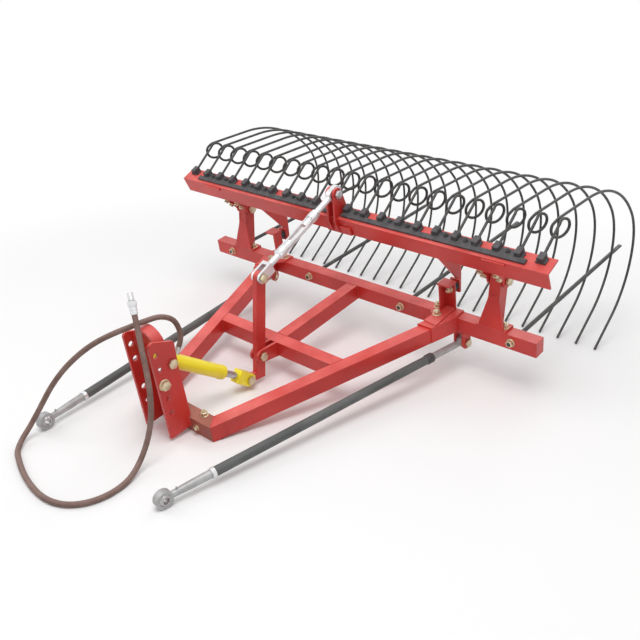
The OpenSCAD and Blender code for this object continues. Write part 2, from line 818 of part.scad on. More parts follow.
// Fork over a plate of the lever's thickness: pin at the local zero, shank along Y
module fork(shank_r, shank_end, hole_r) {
    eye_wall = 11;
    eye_r = hole_r + eye_wall;
    difference() {
        union() {
            plate_pair(fork_half - fork_t, fork_half) {
                circle(eye_r);
                translate([0, -eye_r]) square([fork_throat + fork_crown, 2 * eye_r]);
            }
            translate([-fork_half, fork_throat, -eye_r]) cube([2 * fork_half, fork_crown, 2 * eye_r]);
            bar_y(shank_r, fork_throat, shank_end);
        }
        cross_pin([0, 0], hole_r, -tube_w, tube_w);
    }
}

link_rod_r = 11;
sleeve_start = 120;
sleeve_end = link_len - 122;

screw_in = 62;

module link_fork() {
    color(zinc) park() at_slope(lever_top, link_dir)
        fork(link_rod_r, sleeve_start + screw_in, pin_r + pin_gap);
}

// Open turnbuckle body: two collars on the screws and two bars between them
module link_sleeve() {
    collar_r = 19;
    collar = 26;
    bar_x = [link_rod_r + 1, collar_r];
    bar_h = 14;
    color(zinc) park() at_slope(lever_top, link_dir) difference() {
        union() {
            bar_y(collar_r, sleeve_start, sleeve_start + collar);
            bar_y(collar_r, sleeve_end - collar, sleeve_end);
            both_sides() translate([bar_x[0], sleeve_start + collar / 2, -bar_h / 2])
                cube([bar_x[1] - bar_x[0] - side_gap, sleeve_end - sleeve_start - collar, bar_h]);
        }
        bar_y(link_rod_r + pin_gap, sleeve_start - cut, sleeve_end + cut);
    }
}

// Slotted eye, in which the arm's pin is free to move along the link
module link_eye() {
    slot_half = 13;
    slot_up = 1.8;
    slot_play = 0.7;
    slot_r = pin_r + slot_up + slot_play;
    eye_wall = 10;
    eye_r = slot_r + eye_wall;
    eye_half = arm_inner - 2 * side_gap;
    a = [link_len - slot_half, slot_up];
    b = [link_len + slot_half, slot_up];
    color(zinc) park() at_slope(lever_top, link_dir) difference() {
        union() {
            plate(-eye_half, 2 * eye_half) strap(a, eye_r, b, eye_r);
            bar_y(link_rod_r, sleeve_end - screw_in, link_len - slot_half - slot_r - eye_wall / 2);
        }
        plate(-tube_w, 2 * tube_w) strap(a, slot_r, b, slot_r);
    }
}

gland_end = cylinder_len - 136;
barrel_end = gland_end - 20;
rod_fork_end = fork_throat + fork_crown + 8;

module cylinder_barrel() {
    eye_r = 24;
    barrel_start = 30;
    block = 4;
    end_wall = 30;
    bore_play = 4;
    color(yellow) park() at_slope(cylinder_base, cylinder_dir) difference() {
        union() {
            cross_pin([0, 0], eye_r, -base_eye_half, base_eye_half);
            bar_y(barrel_r, barrel_start, barrel_end);
            translate([-base_eye_half, 0, block - eye_r])
                cube([2 * base_eye_half, barrel_start + block, 2 * (eye_r - block)]);
        }
        cross_pin([0, 0], pin_r + pin_gap, -tube_w, tube_w);
        bar_y(piston_rod_r + bore_play, barrel_start + end_wall, barrel_end + cut);
    }
}

module cylinder_gland() {
    rim = 1;
    color(yellow) park() at_slope(cylinder_base, cylinder_dir) difference() {
        bar_y(barrel_r + rim, barrel_end, gland_end);
        bar_y(piston_rod_r + pin_gap, barrel_end - cut, gland_end + cut);
    }
}

port_y = 66;
module port_elbow() {
    elbow_r = 10;
    elbow_h = 25.2;
    sink = 3;
    color(zinc) park() at_slope(cylinder_base, cylinder_dir) difference() {
        translate([0, port_y, barrel_r - sink]) cylinder(r = elbow_r, h = elbow_h);
        bar_y(barrel_r, port_y - 2 * elbow_r, port_y + 2 * elbow_r);
    }
}

module piston_rod() {
    rod_start = 150;
    color(zinc) park() at_slope(cylinder_base, cylinder_dir)
        bar_y(piston_rod_r, rod_start, cylinder_len - rod_fork_end);
}

// Fork on the piston rod; its hole has room for the drift of this open pivot
module rod_fork() {
    drift = 3.5;
    collar = 4;
    color(yellow) park() at_slope(cylinder_base, cylinder_dir) translate([0, cylinder_len, 0])
        mirror([0, 1, 0]) fork(piston_rod_r + collar, rod_fork_end, pin_r + drift);
}

// Hose: from the cylinder's port over the hitch arch, down into a loop on the floor and up against the
// arch again. Its points are in the parked frame.

hose_r = 9;
hose_sides = 8;
hose_route = [
    [0, -709.4, 283.4], [0, -700.5, 301.1], [-0.2, -698, 334.5], [-1.9, -719.2, 382.2],
    [-5.1, -764.2, 408.5], [-10.3, -816.7, 411.9], [-24.5, -867.1, 404.5], [-50.7, -910.6, 389.7],
    [-84, -945, 367], [-118.8, -972.1, 337.5], [-152.5, -994.6, 303.3], [-184.3, -1015.1, 266],
    [-213.2, -1034, 225.7], [-239.2, -1051.5, 182.8], [-262.6, -1067.4, 137.9], [-283.7, -1085.2, 92.5],
    [-296.9, -1111.3, 48.8], [-286.6, -1152.8, 18.9], [-250.8, -1189.6, 9.5], [-202.6, -1211.8, 9.5],
    [-152.8, -1230.2, 9.5], [-101.9, -1245.2, 9.5], [-49.8, -1255.6, 9.5], [3, -1261, 9.5],
    [55.7, -1255.7, 9.5], [103.9, -1234.2, 9.5], [138.3, -1194.4, 9.5], [154.6, -1144.1, 9.5],
    [154.1, -1091.1, 9.5], [141.9, -1039.7, 13.3], [125.4, -993.1, 31.7], [118.1, -958, 70.3],
    [118.1, -937, 118.9], [116.2, -922.8, 170], [107.9, -912.2, 221.4], [92.8, -902.9, 271.4],
    [72.7, -893.7, 319.7], [48.9, -884.4, 366.2], [25.6, -873.9, 412.8], [3, -865, 460]];

// Point a share t of the way from route point i to the next, on a smooth curve through all of them
function route_point(i, t) = let (
    last = len(hose_route) - 1,
    a = hose_route[max(i - 1, 0)], b = hose_route[i],
    c = hose_route[min(i + 1, last)], d = hose_route[min(i + 2, last)])
    ((2 * b) + (c - a) * t + (2 * a - 5 * b + 4 * c - d) * t * t + (3 * b - a - 3 * c + d) * t * t * t) / 2;

module hose() {
    color(hose_brown) sweep(
        [for (i = [0 : len(hose_route) - 1], t = i < len(hose_route) - 1 ? [0, 0.5] : [0])
            route_point(i, t)],
        hose_r, hose_sides);
}

// Screwed coupling on the hose's free end
module hose_fitting() {
    end = hose_route[len(hose_route) - 1];
    axis = unit(end - hose_route[len(hose_route) - 2]);
    // Start, radius and length of the ferrule, the hexagon's round and the spigot
    steps = [[0, 11, 22], [22, 13, 14], [36, 9, 26]];
    color(zinc) translate(end) rotate([0, acos(axis.z), atan2(axis.y, axis.x)])
        for (s = steps) translate([0, 0, s[0]]) cylinder(r = s[1], h = s[2]);
}

toolbar();
side_members();
front_member();
middle_member();
centre_member();
tube_caps();
corner_gussets();
hitch_cheeks();
hitch_web();
hitch_arch();
cylinder_spacers();
cylinder_pin();
lever_lug();
lever_pin();
draft_lugs();
draft_pins();
pedestals();
pivot_pins();
buffer_posts();
buffers();
stripper_rods();
head_bar();
pivot_brackets();
head_arm();
arm_pin();
stop_arms();
tine_holders();
tines_left();
tines_right();
lever();
lever_top_pin();
lever_foot_pin();
link_fork();
link_sleeve();
link_eye();
cylinder_barrel();
cylinder_gland();
port_elbow();
piston_rod();
rod_fork();
left_draft_rod();
left_draft_tube();
left_draft_ball();
right_draft_rod();
right_draft_tube();
right_draft_ball();
hose();
hose_fitting();
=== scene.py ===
"""Looks of a tractor-mounted spring-tine dump rake, dressed around its CAD model."""
import json
import math

import bmesh
import bpy
from mathutils import Matrix, Vector


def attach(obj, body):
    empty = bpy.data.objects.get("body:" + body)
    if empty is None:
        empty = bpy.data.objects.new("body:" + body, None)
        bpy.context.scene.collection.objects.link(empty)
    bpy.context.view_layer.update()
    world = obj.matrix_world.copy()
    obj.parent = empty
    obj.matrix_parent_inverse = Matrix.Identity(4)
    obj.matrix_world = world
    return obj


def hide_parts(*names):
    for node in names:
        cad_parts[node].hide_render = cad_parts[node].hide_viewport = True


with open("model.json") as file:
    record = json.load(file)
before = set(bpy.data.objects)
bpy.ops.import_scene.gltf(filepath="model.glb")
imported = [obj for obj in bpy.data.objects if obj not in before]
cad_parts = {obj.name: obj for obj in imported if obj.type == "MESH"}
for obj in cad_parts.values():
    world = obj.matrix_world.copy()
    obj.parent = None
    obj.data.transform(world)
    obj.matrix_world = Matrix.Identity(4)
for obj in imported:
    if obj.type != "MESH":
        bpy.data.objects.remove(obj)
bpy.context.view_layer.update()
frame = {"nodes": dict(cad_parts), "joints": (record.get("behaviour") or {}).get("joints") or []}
nodes = frame["nodes"]
joint_at = {j["name"]: Vector(j["pos_m"]) for j in frame["joints"] if "pos_m" in j}

# Chassis frame: millimetres, X to the machine's left, Y rearward, Z up, zero on the toolbar's
# front top edge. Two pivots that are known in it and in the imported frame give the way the
# machine is tipped.
MM = 0.001
UP = Vector((0, 0, 1))
FORWARD = Vector((0, -1, 0))
HEAD_PIVOT = Vector((0, 60, 182))
CYLINDER_BASE = Vector((0, -947, 224))
LEVER_PIVOT = Vector((0, -544, -16))
LEVER_TOP = Vector((0, -475, 278))
LEVER_FOOT = Vector((0, -622, -75))
ARM_PIN = Vector((0, -45, 418))


def slope_of(v):
    return math.atan2(v.z, v.y)


def chassis_matrix():
    tipped = joint_at["head_lift"] - joint_at["cylinder_swing"]
    pitch = slope_of(tipped) - slope_of(HEAD_PIVOT - CYLINDER_BASE)
    turn = Matrix.Rotation(pitch, 4, "X")
    shift = Matrix.Translation(joint_at["head_lift"] - turn @ (HEAD_PIVOT * MM))
    return shift @ turn @ Matrix.Scale(MM, 4)


CHASSIS = chassis_matrix()

# Sizes of the CAD model that the dressing is set on, in chassis millimetres
TUBE_W = 50
TUBE_H = 60
FRAME_LEN = 940
MIDDLE_Y = 468
REAR_HALF = 497
FRONT_HALF = 173
SPLAY = (REAR_HALF - FRONT_HALF) / FRAME_LEN
MEMBER_X = TUBE_W * math.sqrt(1 + SPLAY * SPLAY)
# Slope of the front corners' mitres in plan, from the outer front corner to the inner rear one
MITRE = (MEMBER_X - SPLAY * TUBE_W) / TUBE_W
GUSSET_T = 6
CHEEK_HALF = 68
CHEEK_FOOT_Z = -35
PEDESTAL_X = 640
PEDESTAL_BASE_T = 8
HEAD_SLOPE = math.radians(18)
HEAD_APEX = Vector((0, -63, 325))
ALONG_UPPER = Vector((0, math.cos(HEAD_SLOPE), math.sin(HEAD_SLOPE)))
ALONG_LOWER = Vector((0, math.sin(HEAD_SLOPE), -math.cos(HEAD_SLOPE)))
TINE_PITCH = 80
TINES_PER_SIDE = 11
STRIPPER_X = [-9 * TINE_PITCH, -3 * TINE_PITCH, 3 * TINE_PITCH, 9 * TINE_PITCH]
STRIPPER_SLOPE = math.radians(-2.5)
BUFFER_X = 445
BUFFER_Z = 88
POST_BACK_Y = 45
POST_T = 6
DRAFT_PIN = Vector((505, 20, -112))

# Half lengths and radii of the cross pins
PIN_R = 10
CYLINDER_PIN_HALF = CHEEK_HALF + 6
LEVER_PIN_HALF = 27
LINK_PIN_HALF = 26
PIVOT_PIN_HALF = 41
DRAFT_PIN_HALF = 29
DRAFT_PIN_R = 9


def on_head(u, v, x=0):
    """Point in the head bar's own axes, u along the upper leg and v along the lower one."""
    return HEAD_APEX + u * ALONG_UPPER + v * ALONG_LOWER + Vector((x, 0, 0))


def side_x(y):
    """Outer face of the left side member in plan."""
    return REAR_HALF + SPLAY * y


def both(x):
    return (x, -x)


# Mesh helpers. They work in chassis millimetres.

def axes_for(direction):
    """Two unit vectors square to a direction and to each other."""
    d = direction.normalized()
    helper = Vector((1, 0, 0)) if abs(d.x) < 0.9 else Vector((0, 0, 1))
    a = (helper - helper.dot(d) * d).normalized()
    return a, d.cross(a)


def turned(a, b, t):
    """Unit vector at the angle t from a towards b."""
    return math.cos(t) * a + math.sin(t) * b


def full_turn(sides):
    return [2 * math.pi * k / sides for k in range(sides)]


def skin(bm, rings):
    """Closed surface through rings of points, with a face on each end."""
    rings = [[bm.verts.new(p) for p in ring] for ring in rings]
    for low, high in zip(rings, rings[1:]):
        for k in range(len(low)):
            n = (k + 1) % len(low)
            bm.faces.new((low[k], low[n], high[n], high[k]))
    bm.faces.new(list(reversed(rings[0])))
    bm.faces.new(rings[-1])


def lathe(bm, origin, direction, profile, sides=32):
    """Closed solid turned about a line: profile is a list of (distance along it, radius)."""
    d = direction.normalized()
    a, b = axes_for(d)
    skin(bm, [[origin + along * d + radius * turned(a, b, t) for t in full_turn(sides)]
              for along, radius in profile])


def sweep(bm, path, radii, sides):
    """Round bar along a path of points, with a radius for each point."""
    normal = None
    rings = []
    for i, p in enumerate(path):
        d = (path[min(i + 1, len(path) - 1)] - path[max(i - 1, 0)]).normalized()
        if normal is None:
            normal = axes_for(d)[0]
        normal = (normal - normal.dot(d) * d).normalized()
        across = d.cross(normal)
        rings.append([p + radii[i] * turned(normal, across, t) for t in full_turn(sides)])
    skin(bm, rings)


def washer(bm, origin, direction, bolt_r):
    """Washer on a face. Gives the middle of its upper side."""
    rim = 0.15 * bolt_r
    outer = 2.0 * bolt_r
    thick = 0.32 * bolt_r
    profile = [(0, outer - rim), (0, outer), (thick - rim, outer), (thick, outer - rim)]
    lathe(bm, origin, direction, profile, sides=28)
    return origin + thick * direction.normalized()


def hexagon(bm, origin, direction, bolt_r, height, turn):
    """Hexagonal head or nut with its corners turned down at the top."""
    d = direction.normalized()
    a, b = axes_for(d)
    corner = 1.5 * bolt_r / math.cos(math.pi / 6)
    top = 1.45 * bolt_r
    step = 0.16 * bolt_r
    skin(bm, [[origin + along * d + radius * turned(a, b, turn + t) for t in full_turn(6)]
              for along, radius in [(0, corner), (height - step, corner), (height, top)]])


def bolt(bm, origin, direction, bolt_r, turn):
    """Bolt head on its washer, seated at a point on a face."""
    head = 1.25 * bolt_r
    hexagon(bm, washer(bm, origin, direction, bolt_r), direction, bolt_r, head, turn)


def thread(bm, origin, direction, radius, length, pitch=3.0, depth=1.1):
    """Screw thread as a turned bar whose radius follows a helix."""
    d = direction.normalized()
    a, b = axes_for(d)
    sides = 20
    steps_per_turn = 4
    count = int(length / pitch * steps_per_turn)
    rings = []
    for i in range(count + 1):
        along = length * i / count
        ring = []
        for k, t in enumerate(full_turn(sides)):
            phase = (along / pitch + k / sides) % 1.0
            r = radius - depth * abs(2 * phase - 1)
            ring.append(origin + along * d + r * turned(a, b, t))
        rings.append(ring)
    skin(bm, rings)


def nut(bm, origin, direction, bolt_r, turn, stick_out):
    """Nut on its washer, with the bolt's threaded end standing out of it unless that is zero."""
    top = washer(bm, origin, direction, bolt_r)
    height = 1.6 * bolt_r
    hexagon(bm, top, direction, bolt_r, height, turn)
    if stick_out:
        start = top + (height - 1) * direction.normalized()
        thread(bm, start, direction, 0.96 * bolt_r, stick_out + 1)


# Welds: length of one ripple step, ripples as (share of the radius, pace, turns of the seed)
WELD_STEP = 2.2
WELD_RIPPLES = [(0.13, 2.1, 1), (0.07, 0.77, 2)]
WELD_END = 0.45


def weld(bm, start, end, radius, seed):
    """Bead along a seam, with the ripples that a welder leaves."""
    count = max(6, int((end - start).length / WELD_STEP))
    path = [start.lerp(end, i / count) for i in range(count + 1)]
    radii = [radius * (1 + sum(share * math.sin(pace * i + turns * seed)
                               for share, pace, turns in WELD_RIPPLES))
             for i in range(count + 1)]
    radii[0] = radii[-1] = radius * WELD_END
    sweep(bm, path, radii, sides=7)


# Split pins: the legs' bends as (across, along) the cross pin, and the eye at their upper end
SPLIT_PIN_BENDS = [(17, 0), (-13, 0), (-18, 4), (-20, 10)]
SPLIT_PIN_R = 1.9
SPLIT_EYE_AT = 20
SPLIT_EYE_R = 4.2
SPLIT_EYE_WIRE = 1.6
SPLIT_EYE_STEPS = 14


def split_pin(bm, origin, along, across):
    """Bent split pin through the end of a cross pin."""
    a = along.normalized()
    c = across.normalized()
    legs = [origin + c * u + a * v for u, v in SPLIT_PIN_BENDS]
    sweep(bm, legs, [SPLIT_PIN_R] * len(legs), sides=8)
    angles = [2 * math.pi * k / SPLIT_EYE_STEPS for k in range(SPLIT_EYE_STEPS + 1)]
    eye = [origin + c * SPLIT_EYE_AT + SPLIT_EYE_R * turned(c, a, t) for t in angles]
    sweep(bm, eye, [SPLIT_EYE_WIRE] * len(eye), sides=6)


def mesh_object(name, bm, material):
    """Object in the scene with the bmesh's faces and one material."""
    mesh = bpy.data.meshes.new(name)
    bm.to_mesh(mesh)
    bm.free()
    mesh.materials.append(material)
    obj = bpy.data.objects.new(name, mesh)
    bpy.context.scene.collection.objects.link(obj)
    return obj


# Angles in degrees beyond which an edge stays sharp
PIECE_SHARP = 38
HOSE_SHARP = 60


def smooth(mesh, sharp_degrees):
    mesh.shade_smooth()
    mesh.set_sharp_from_angle(angle=math.radians(sharp_degrees))


def piece(name, body, material, build):
    """One mesh piece made by a function that fills a bmesh in chassis millimetres."""
    bm = bmesh.new()
    build(bm)
    bmesh.ops.recalc_face_normals(bm, faces=bm.faces)
    obj = mesh_object(name, bm, material)
    obj.data.transform(CHASSIS)
    smooth(obj.data, PIECE_SHARP)
    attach(obj, body)
    return obj


# Materials

class Nodes:
    """Small helper around one material's node tree."""

    def __init__(self, name):
        self.material = bpy.data.materials.new(name)
        self.material.use_nodes = True
        self.tree = self.material.node_tree
        self.shader = self.tree.nodes["Principled BSDF"]
        self.coords = self.add("ShaderNodeTexCoord").outputs["Object"]

    def add(self, kind, **values):
        node = self.tree.nodes.new(kind)
        for key, value in values.items():
            if key in node.inputs:
                node.inputs[key].default_value = value
            else:
                setattr(node, key, value)
        return node

    def link(self, source, target):
        self.tree.links.new(source, target)

    def noise(self, scale, detail=4.0, rough=0.55, stretch=(1, 1, 1)):
        mapping = self.add("ShaderNodeMapping", Scale=stretch)
        self.link(self.coords, mapping.inputs["Vector"])
        node = self.add("ShaderNodeTexNoise", Scale=scale, Detail=detail, Roughness=rough)
        self.link(mapping.outputs["Vector"], node.inputs["Vector"])
        return node.outputs["Fac"]

    def ramp(self, source, low, high):
        """Zero at the low value of the source and one at the high value."""
        node = self.add("ShaderNodeMapRange")
        node.inputs["From Min"].default_value = low
        node.inputs["From Max"].default_value = high
        self.link(source, node.inputs["Value"])
        return node.outputs["Result"]

    def math(self, operation, a, b=0):
        node = self.add("ShaderNodeMath", operation=operation)
        for socket, value in zip(node.inputs, (a, b)):
            if isinstance(value, (int, float)):
                socket.default_value = value
            else:
                self.link(value, socket)
        return node.outputs["Value"]

    def times(self, a, b):
        return self.math("MULTIPLY", a, b)

    def mix(self, factor, a, b):
        """Blend of two colours, each a tuple or another node's output."""
        node = self.add("ShaderNodeMix", data_type="RGBA")
        self.link(factor, node.inputs["Factor"])
        for name, value in (("A", a), ("B", b)):
            socket = next(s for s in node.inputs if s.name == name and s.type == "RGBA")
            if isinstance(value, tuple):
                socket.default_value = (*value, 1.0)
            else:
                self.link(value, socket)
        return next(s for s in node.outputs if s.type == "RGBA")

    def dot(self, a, b):
        """Dot product of a node's output with a vector or another node's output."""
        node = self.add("ShaderNodeVectorMath", operation="DOT_PRODUCT")
        self.link(a, node.inputs[0])
        if isinstance(b, Vector):
            node.inputs[1].default_value = b
        else:
            self.link(b, node.inputs[1])
        return node.outputs["Value"]

    def split(self, source):
        node = self.add("ShaderNodeSeparateXYZ")
        self.link(source, node.inputs["Vector"])
        return node.outputs

    def normal(self):
        return self.add("ShaderNodeNewGeometry").outputs["Normal"]

    def rounded_normal(self, radius):
        return self.add("ShaderNodeBevel", samples=4, Radius=radius).outputs["Normal"]

    def edges(self, radius):
        """One near a convex or concave edge and zero on open faces."""
        return self.ramp(self.dot(self.rounded_normal(radius), self.normal()), 0.995, 0.86)

    def upward(self):
        """One on faces that look up."""
        return self.ramp(self.split(self.normal())["Z"], 0.25, 0.95)

    def past_mitre(self):
        """One beyond the mitres, where the side members' paint covers the front member's ends."""
        rearward = CHASSIS.to_3x3().col[1].normalized()
        corner = CHASSIS @ Vector((FRONT_HALF, -FRAME_LEN, 0))
        behind = self.math("SUBTRACT", self.dot(self.coords, rearward), corner.dot(rearward))
        aside = self.math("ABSOLUTE", self.split(self.coords)["X"])
        reach = self.math("ADD", aside, self.times(behind, MITRE))
        return self.math("GREATER_THAN", reach, corner.x)

    def bump(self, source, strength, distance, round_edges=0.0):
        node = self.add("ShaderNodeBump", Strength=strength, Distance=distance)
        self.link(source, node.inputs["Height"])
        if round_edges:
            self.link(self.rounded_normal(round_edges), node.inputs["Normal"])
        self.link(node.outputs["Normal"], self.shader.inputs["Normal"])

    def colour(self, source):
        self.link(source, self.shader.inputs["Base Color"])

    def roughness(self, source, low, high):
        node = self.add("ShaderNodeMapRange")
        node.inputs["To Min"].default_value = low
        node.inputs["To Max"].default_value = high
        self.link(source, node.inputs["Value"])
        self.link(node.outputs["Result"], self.shader.inputs["Roughness"])


def paint(name, coats, worn, gloss=(0.32, 0.5), rubbing=0.55, over=None):
    """Sprayed enamel: patchy, painted highlight on top, rubbed at the edges, with orange peel.

    coats are its main and deep colours and that of the painted highlight on top faces.
    over gives those of the front member's ends.
    """
    n = Nodes(name)
    if over:
        ends = n.past_mitre()
        coats = [n.mix(ends, a, b) for a, b in zip(coats, over)]
    main, deep, top_highlight = coats
    fine = n.noise(42.0, detail=6.0, rough=0.65)
    base = n.mix(n.ramp(n.noise(5.0, detail=5.0), 0.36, 0.66), deep, main)
    # Painted highlight: faces that look up are mixed towards the third, paler coat, as if lit from
    # above
    top = n.times(n.upward(), n.ramp(n.noise(9.0, detail=6.0), 0.2, 0.75))
    base = n.mix(n.times(top, 0.75), base, top_highlight)
    base = n.mix(n.times(n.ramp(fine, 0.66, 0.74), 0.35), base, worn)
    rubbed = n.times(n.edges(radius=0.0022), n.ramp(fine, 0.42, 0.62))
    base = n.mix(n.times(rubbed, rubbing), base, worn)
    n.colour(base)
    n.roughness(n.noise(14.0), *gloss)
    n.shader.inputs["Coat Weight"].default_value = 0.12
    n.bump(n.noise(240.0, detail=2.0), strength=0.10, distance=0.0006, round_edges=0.0018)
    return n.material


def metal(name, main, dull, stain, rough=(0.28, 0.5), metallic=0.85, scale=30.0):
    """Bare or plated steel with dull patches and a little stain."""
    n = Nodes(name)
    base = n.mix(n.ramp(n.noise(scale, detail=5.0, rough=0.6), 0.35, 0.68), main, dull)
    stained = n.ramp(n.noise(17.0, detail=6.0, rough=0.7), 0.58, 0.72)
    base = n.mix(n.times(stained, 0.55), base, stain)
    n.colour(base)
    n.shader.inputs["Metallic"].default_value = metallic
    n.roughness(n.noise(scale * 2.0), *rough)
    n.bump(n.noise(scale * 9.0, detail=3.0), strength=0.15, distance=0.0005, round_edges=0.0010)
    return n.material


def black(name, main, dusty, rough, scale, lumps, stretch=(1, 1, 1), dust=0.7):
    """Dark satin surface with dust in patches and on top."""
    n = Nodes(name)
    patches = n.ramp(n.noise(scale, detail=6.0, rough=0.65, stretch=stretch), 0.4, 0.7)
    base = n.mix(patches, main, dusty)
    top = n.times(n.upward(), n.ramp(n.noise(scale * 0.4, detail=5.0), 0.35, 0.7))
    base = n.mix(n.times(top, dust), base, dusty)
    n.colour(base)
    n.roughness(n.noise(scale * 1.6), *rough)
    n.bump(n.noise(scale * 7.0, rough=0.6), strength=lumps, distance=0.0008, round_edges=0.0012)
    return n.material


def hose_material():
    """Reddish brown rubber, lighter on faces that look up, with a fine grain."""
    n = Nodes("hose_rubber")
    patches = n.ramp(n.noise(24.0, detail=6.0, rough=0.65), 0.36, 0.66)
    base = n.mix(patches, (0.132, 0.072, 0.057), (0.215, 0.131, 0.109))
    base = n.mix(n.times(n.upward(), 0.38), base, (0.30, 0.205, 0.175))
    n.colour(base)
    n.roughness(n.noise(50.0), 0.5, 0.72)
    n.bump(n.noise(420.0, detail=2.0), strength=0.3, distance=0.0006)
    return n.material


# Main, deep and top colours of each paint; the third is the painted highlight on faces that look
# up
RED_COATS = ((0.60, 0.030, 0.022), (0.46, 0.021, 0.016), (0.90, 0.190, 0.170))
YELLOW_COATS = ((0.95, 0.82, 0.016), (0.88, 0.71, 0.012), (0.95, 0.87, 0.09))
BROWN_COATS = ((0.32, 0.075, 0.048), (0.23, 0.055, 0.038), (0.46, 0.20, 0.145))

RED = paint("red_paint", RED_COATS, worn=(0.20, 0.045, 0.035))
YELLOW = paint("yellow_paint", YELLOW_COATS, worn=(0.22, 0.15, 0.03), gloss=(0.25, 0.4),
               rubbing=0.4)
BROWN = paint("red_brown", BROWN_COATS, worn=(0.16, 0.07, 0.05), gloss=(0.5, 0.75),
              over=RED_COATS)
WIRE = black("spring_wire", main=(0.022, 0.022, 0.024), dusty=(0.070, 0.066, 0.060),
             rough=(0.38, 0.6), scale=40.0, lumps=0.25)
IRON = black("cast_iron", main=(0.039, 0.037, 0.041), dusty=(0.102, 0.095, 0.098),
             rough=(0.5, 0.75), scale=60.0, lumps=0.5)
TUBE = black("rod_tube", main=(0.060, 0.064, 0.062), dusty=(0.125, 0.130, 0.126),
             rough=(0.45, 0.65), scale=16.0, lumps=0.3, stretch=(1, 0.35, 1), dust=0.5)
RUBBER = black("rubber", main=(0.016, 0.016, 0.017), dusty=(0.055, 0.053, 0.050),
               rough=(0.6, 0.8), scale=35.0, lumps=0.3)
ZINC = metal("plated_steel", main=(0.66, 0.66, 0.67), dull=(0.46, 0.46, 0.47),
             stain=(0.33, 0.27, 0.19))
GOLD_ZINC = metal("bolt_plating", main=(0.72, 0.62, 0.42), dull=(0.55, 0.47, 0.33),
                  stain=(0.30, 0.22, 0.13), rough=(0.3, 0.5), scale=60.0)
FORGED = metal("forged_steel", main=(0.46, 0.46, 0.46), dull=(0.33, 0.33, 0.33),
               stain=(0.24, 0.21, 0.17), rough=(0.38, 0.6), metallic=0.5, scale=22.0)
CHROME = metal("piston_steel", main=(0.52, 0.50, 0.50), dull=(0.38, 0.36, 0.36),
               stain=(0.28, 0.25, 0.23), rough=(0.2, 0.35))
BRIGHT = metal("turnbuckle_plate", main=(0.82, 0.82, 0.83), dull=(0.68, 0.68, 0.70),
               stain=(0.45, 0.42, 0.38), rough=(0.22, 0.4), metallic=0.7)
HOSE = hose_material()

# Nodes of the CAD model that aren't red
NODE_MATERIALS = {
    "front_member": BROWN, "tine_holders": IRON, "stripper_rods": WIRE, "buffers": RUBBER,
    "left_draft_tube": TUBE, "right_draft_tube": TUBE,
    "cylinder_barrel": YELLOW, "cylinder_gland": YELLOW, "rod_fork": YELLOW,
    "piston_rod": CHROME, "left_draft_ball": CHROME, "right_draft_ball": CHROME,
    "link_fork": BRIGHT, "link_sleeve": BRIGHT, "link_eye": BRIGHT,
    "cylinder_pin": GOLD_ZINC, "lever_pin": GOLD_ZINC, "lever_top_pin": GOLD_ZINC,
    "lever_foot_pin": GOLD_ZINC, "draft_pins": GOLD_ZINC, "pivot_pins": GOLD_ZINC,
    "arm_pin": ZINC, "port_elbow": ZINC, "hose_fitting": ZINC,
    "left_draft_rod": FORGED, "right_draft_rod": FORGED,
}
for node_name, node in nodes.items():
    node.data.materials.clear()
    node.data.materials.append(NODE_MATERIALS.get(node_name, RED))


# Tines: round wire in place of the coarse one of the CAD model. Bends are (radius, angle, steps).

WIRE_R = 5
WIRE_SIDES = 12
HOLDER_RISE = 14
ROOT_U = 38
RISE_U = 68
COIL_U = 190
COIL_R = 33
COIL_SHIFT = 13
COIL_SKEW = math.tan(math.radians(20))
COIL_EASE = math.radians(60)
COIL_STEPS = 48
NECK_SLOPE = math.radians(-5)
NECK_LEN = 213
BENDS = [(529, math.radians(50), 18), (254, math.radians(40), 14), (320, math.radians(55), 18)]
TIP_LEN = 152


def heading_line(angle):
    return Vector((0, math.cos(angle), math.sin(angle)))


def tine_path():
    """Points of one tine at its root's X: root, rise, coil, neck, three bends and tip."""
    start = on_head(RISE_U, -HOLDER_RISE)
    centre = on_head(COIL_U, 1 - HOLDER_RISE)
    span = centre - start
    rise = slope_of(span) + math.asin(COIL_R / span.length)
    turn = 2 * math.pi + rise - NECK_SLOPE
    path = [on_head(ROOT_U, -HOLDER_RISE), start]
    for k in range(COIL_STEPS + 1):
        t = turn * k / COIL_STEPS
        point = centre + COIL_R * Vector((0, -math.sin(rise - t), math.cos(rise - t)))
        ease = min(1, t / COIL_EASE, (turn - t) / COIL_EASE)
        point.x = COIL_SKEW * (point.y - centre.y) * ease - COIL_SHIFT * t / (2 * math.pi)
        path.append(point)
    heading = NECK_SLOPE
    path.append(path[-1] + NECK_LEN * heading_line(heading))
    for radius, angle, steps in BENDS:
        start = path[-1]
        for k in range(1, steps + 1):
            a = heading - angle * k / steps
            path.append(start + radius * Vector((
                0, math.sin(heading) - math.sin(a), math.cos(a) - math.cos(heading))))
        heading -= angle
    path.append(path[-1] + TIP_LEN * heading_line(heading))
    return path


def tines(side):
    def build(bm):
        path = tine_path()
        radii = [WIRE_R] * len(path)
        for i in range(TINES_PER_SIDE):
            x = Vector((side * (i + 0.5) * TINE_PITCH, 0, 0))
            sweep(bm, [p + x for p in path], radii, WIRE_SIDES)
    return build


for tine_node, tine_side in (("tines_left", 1), ("tines_right", -1)):
    row = piece(tine_node + "_wire", "rake_head", WIRE, tines(tine_side))
    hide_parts(tine_node)


# Hose: the CAD route in metres, from the cylinder's port to its end fitting

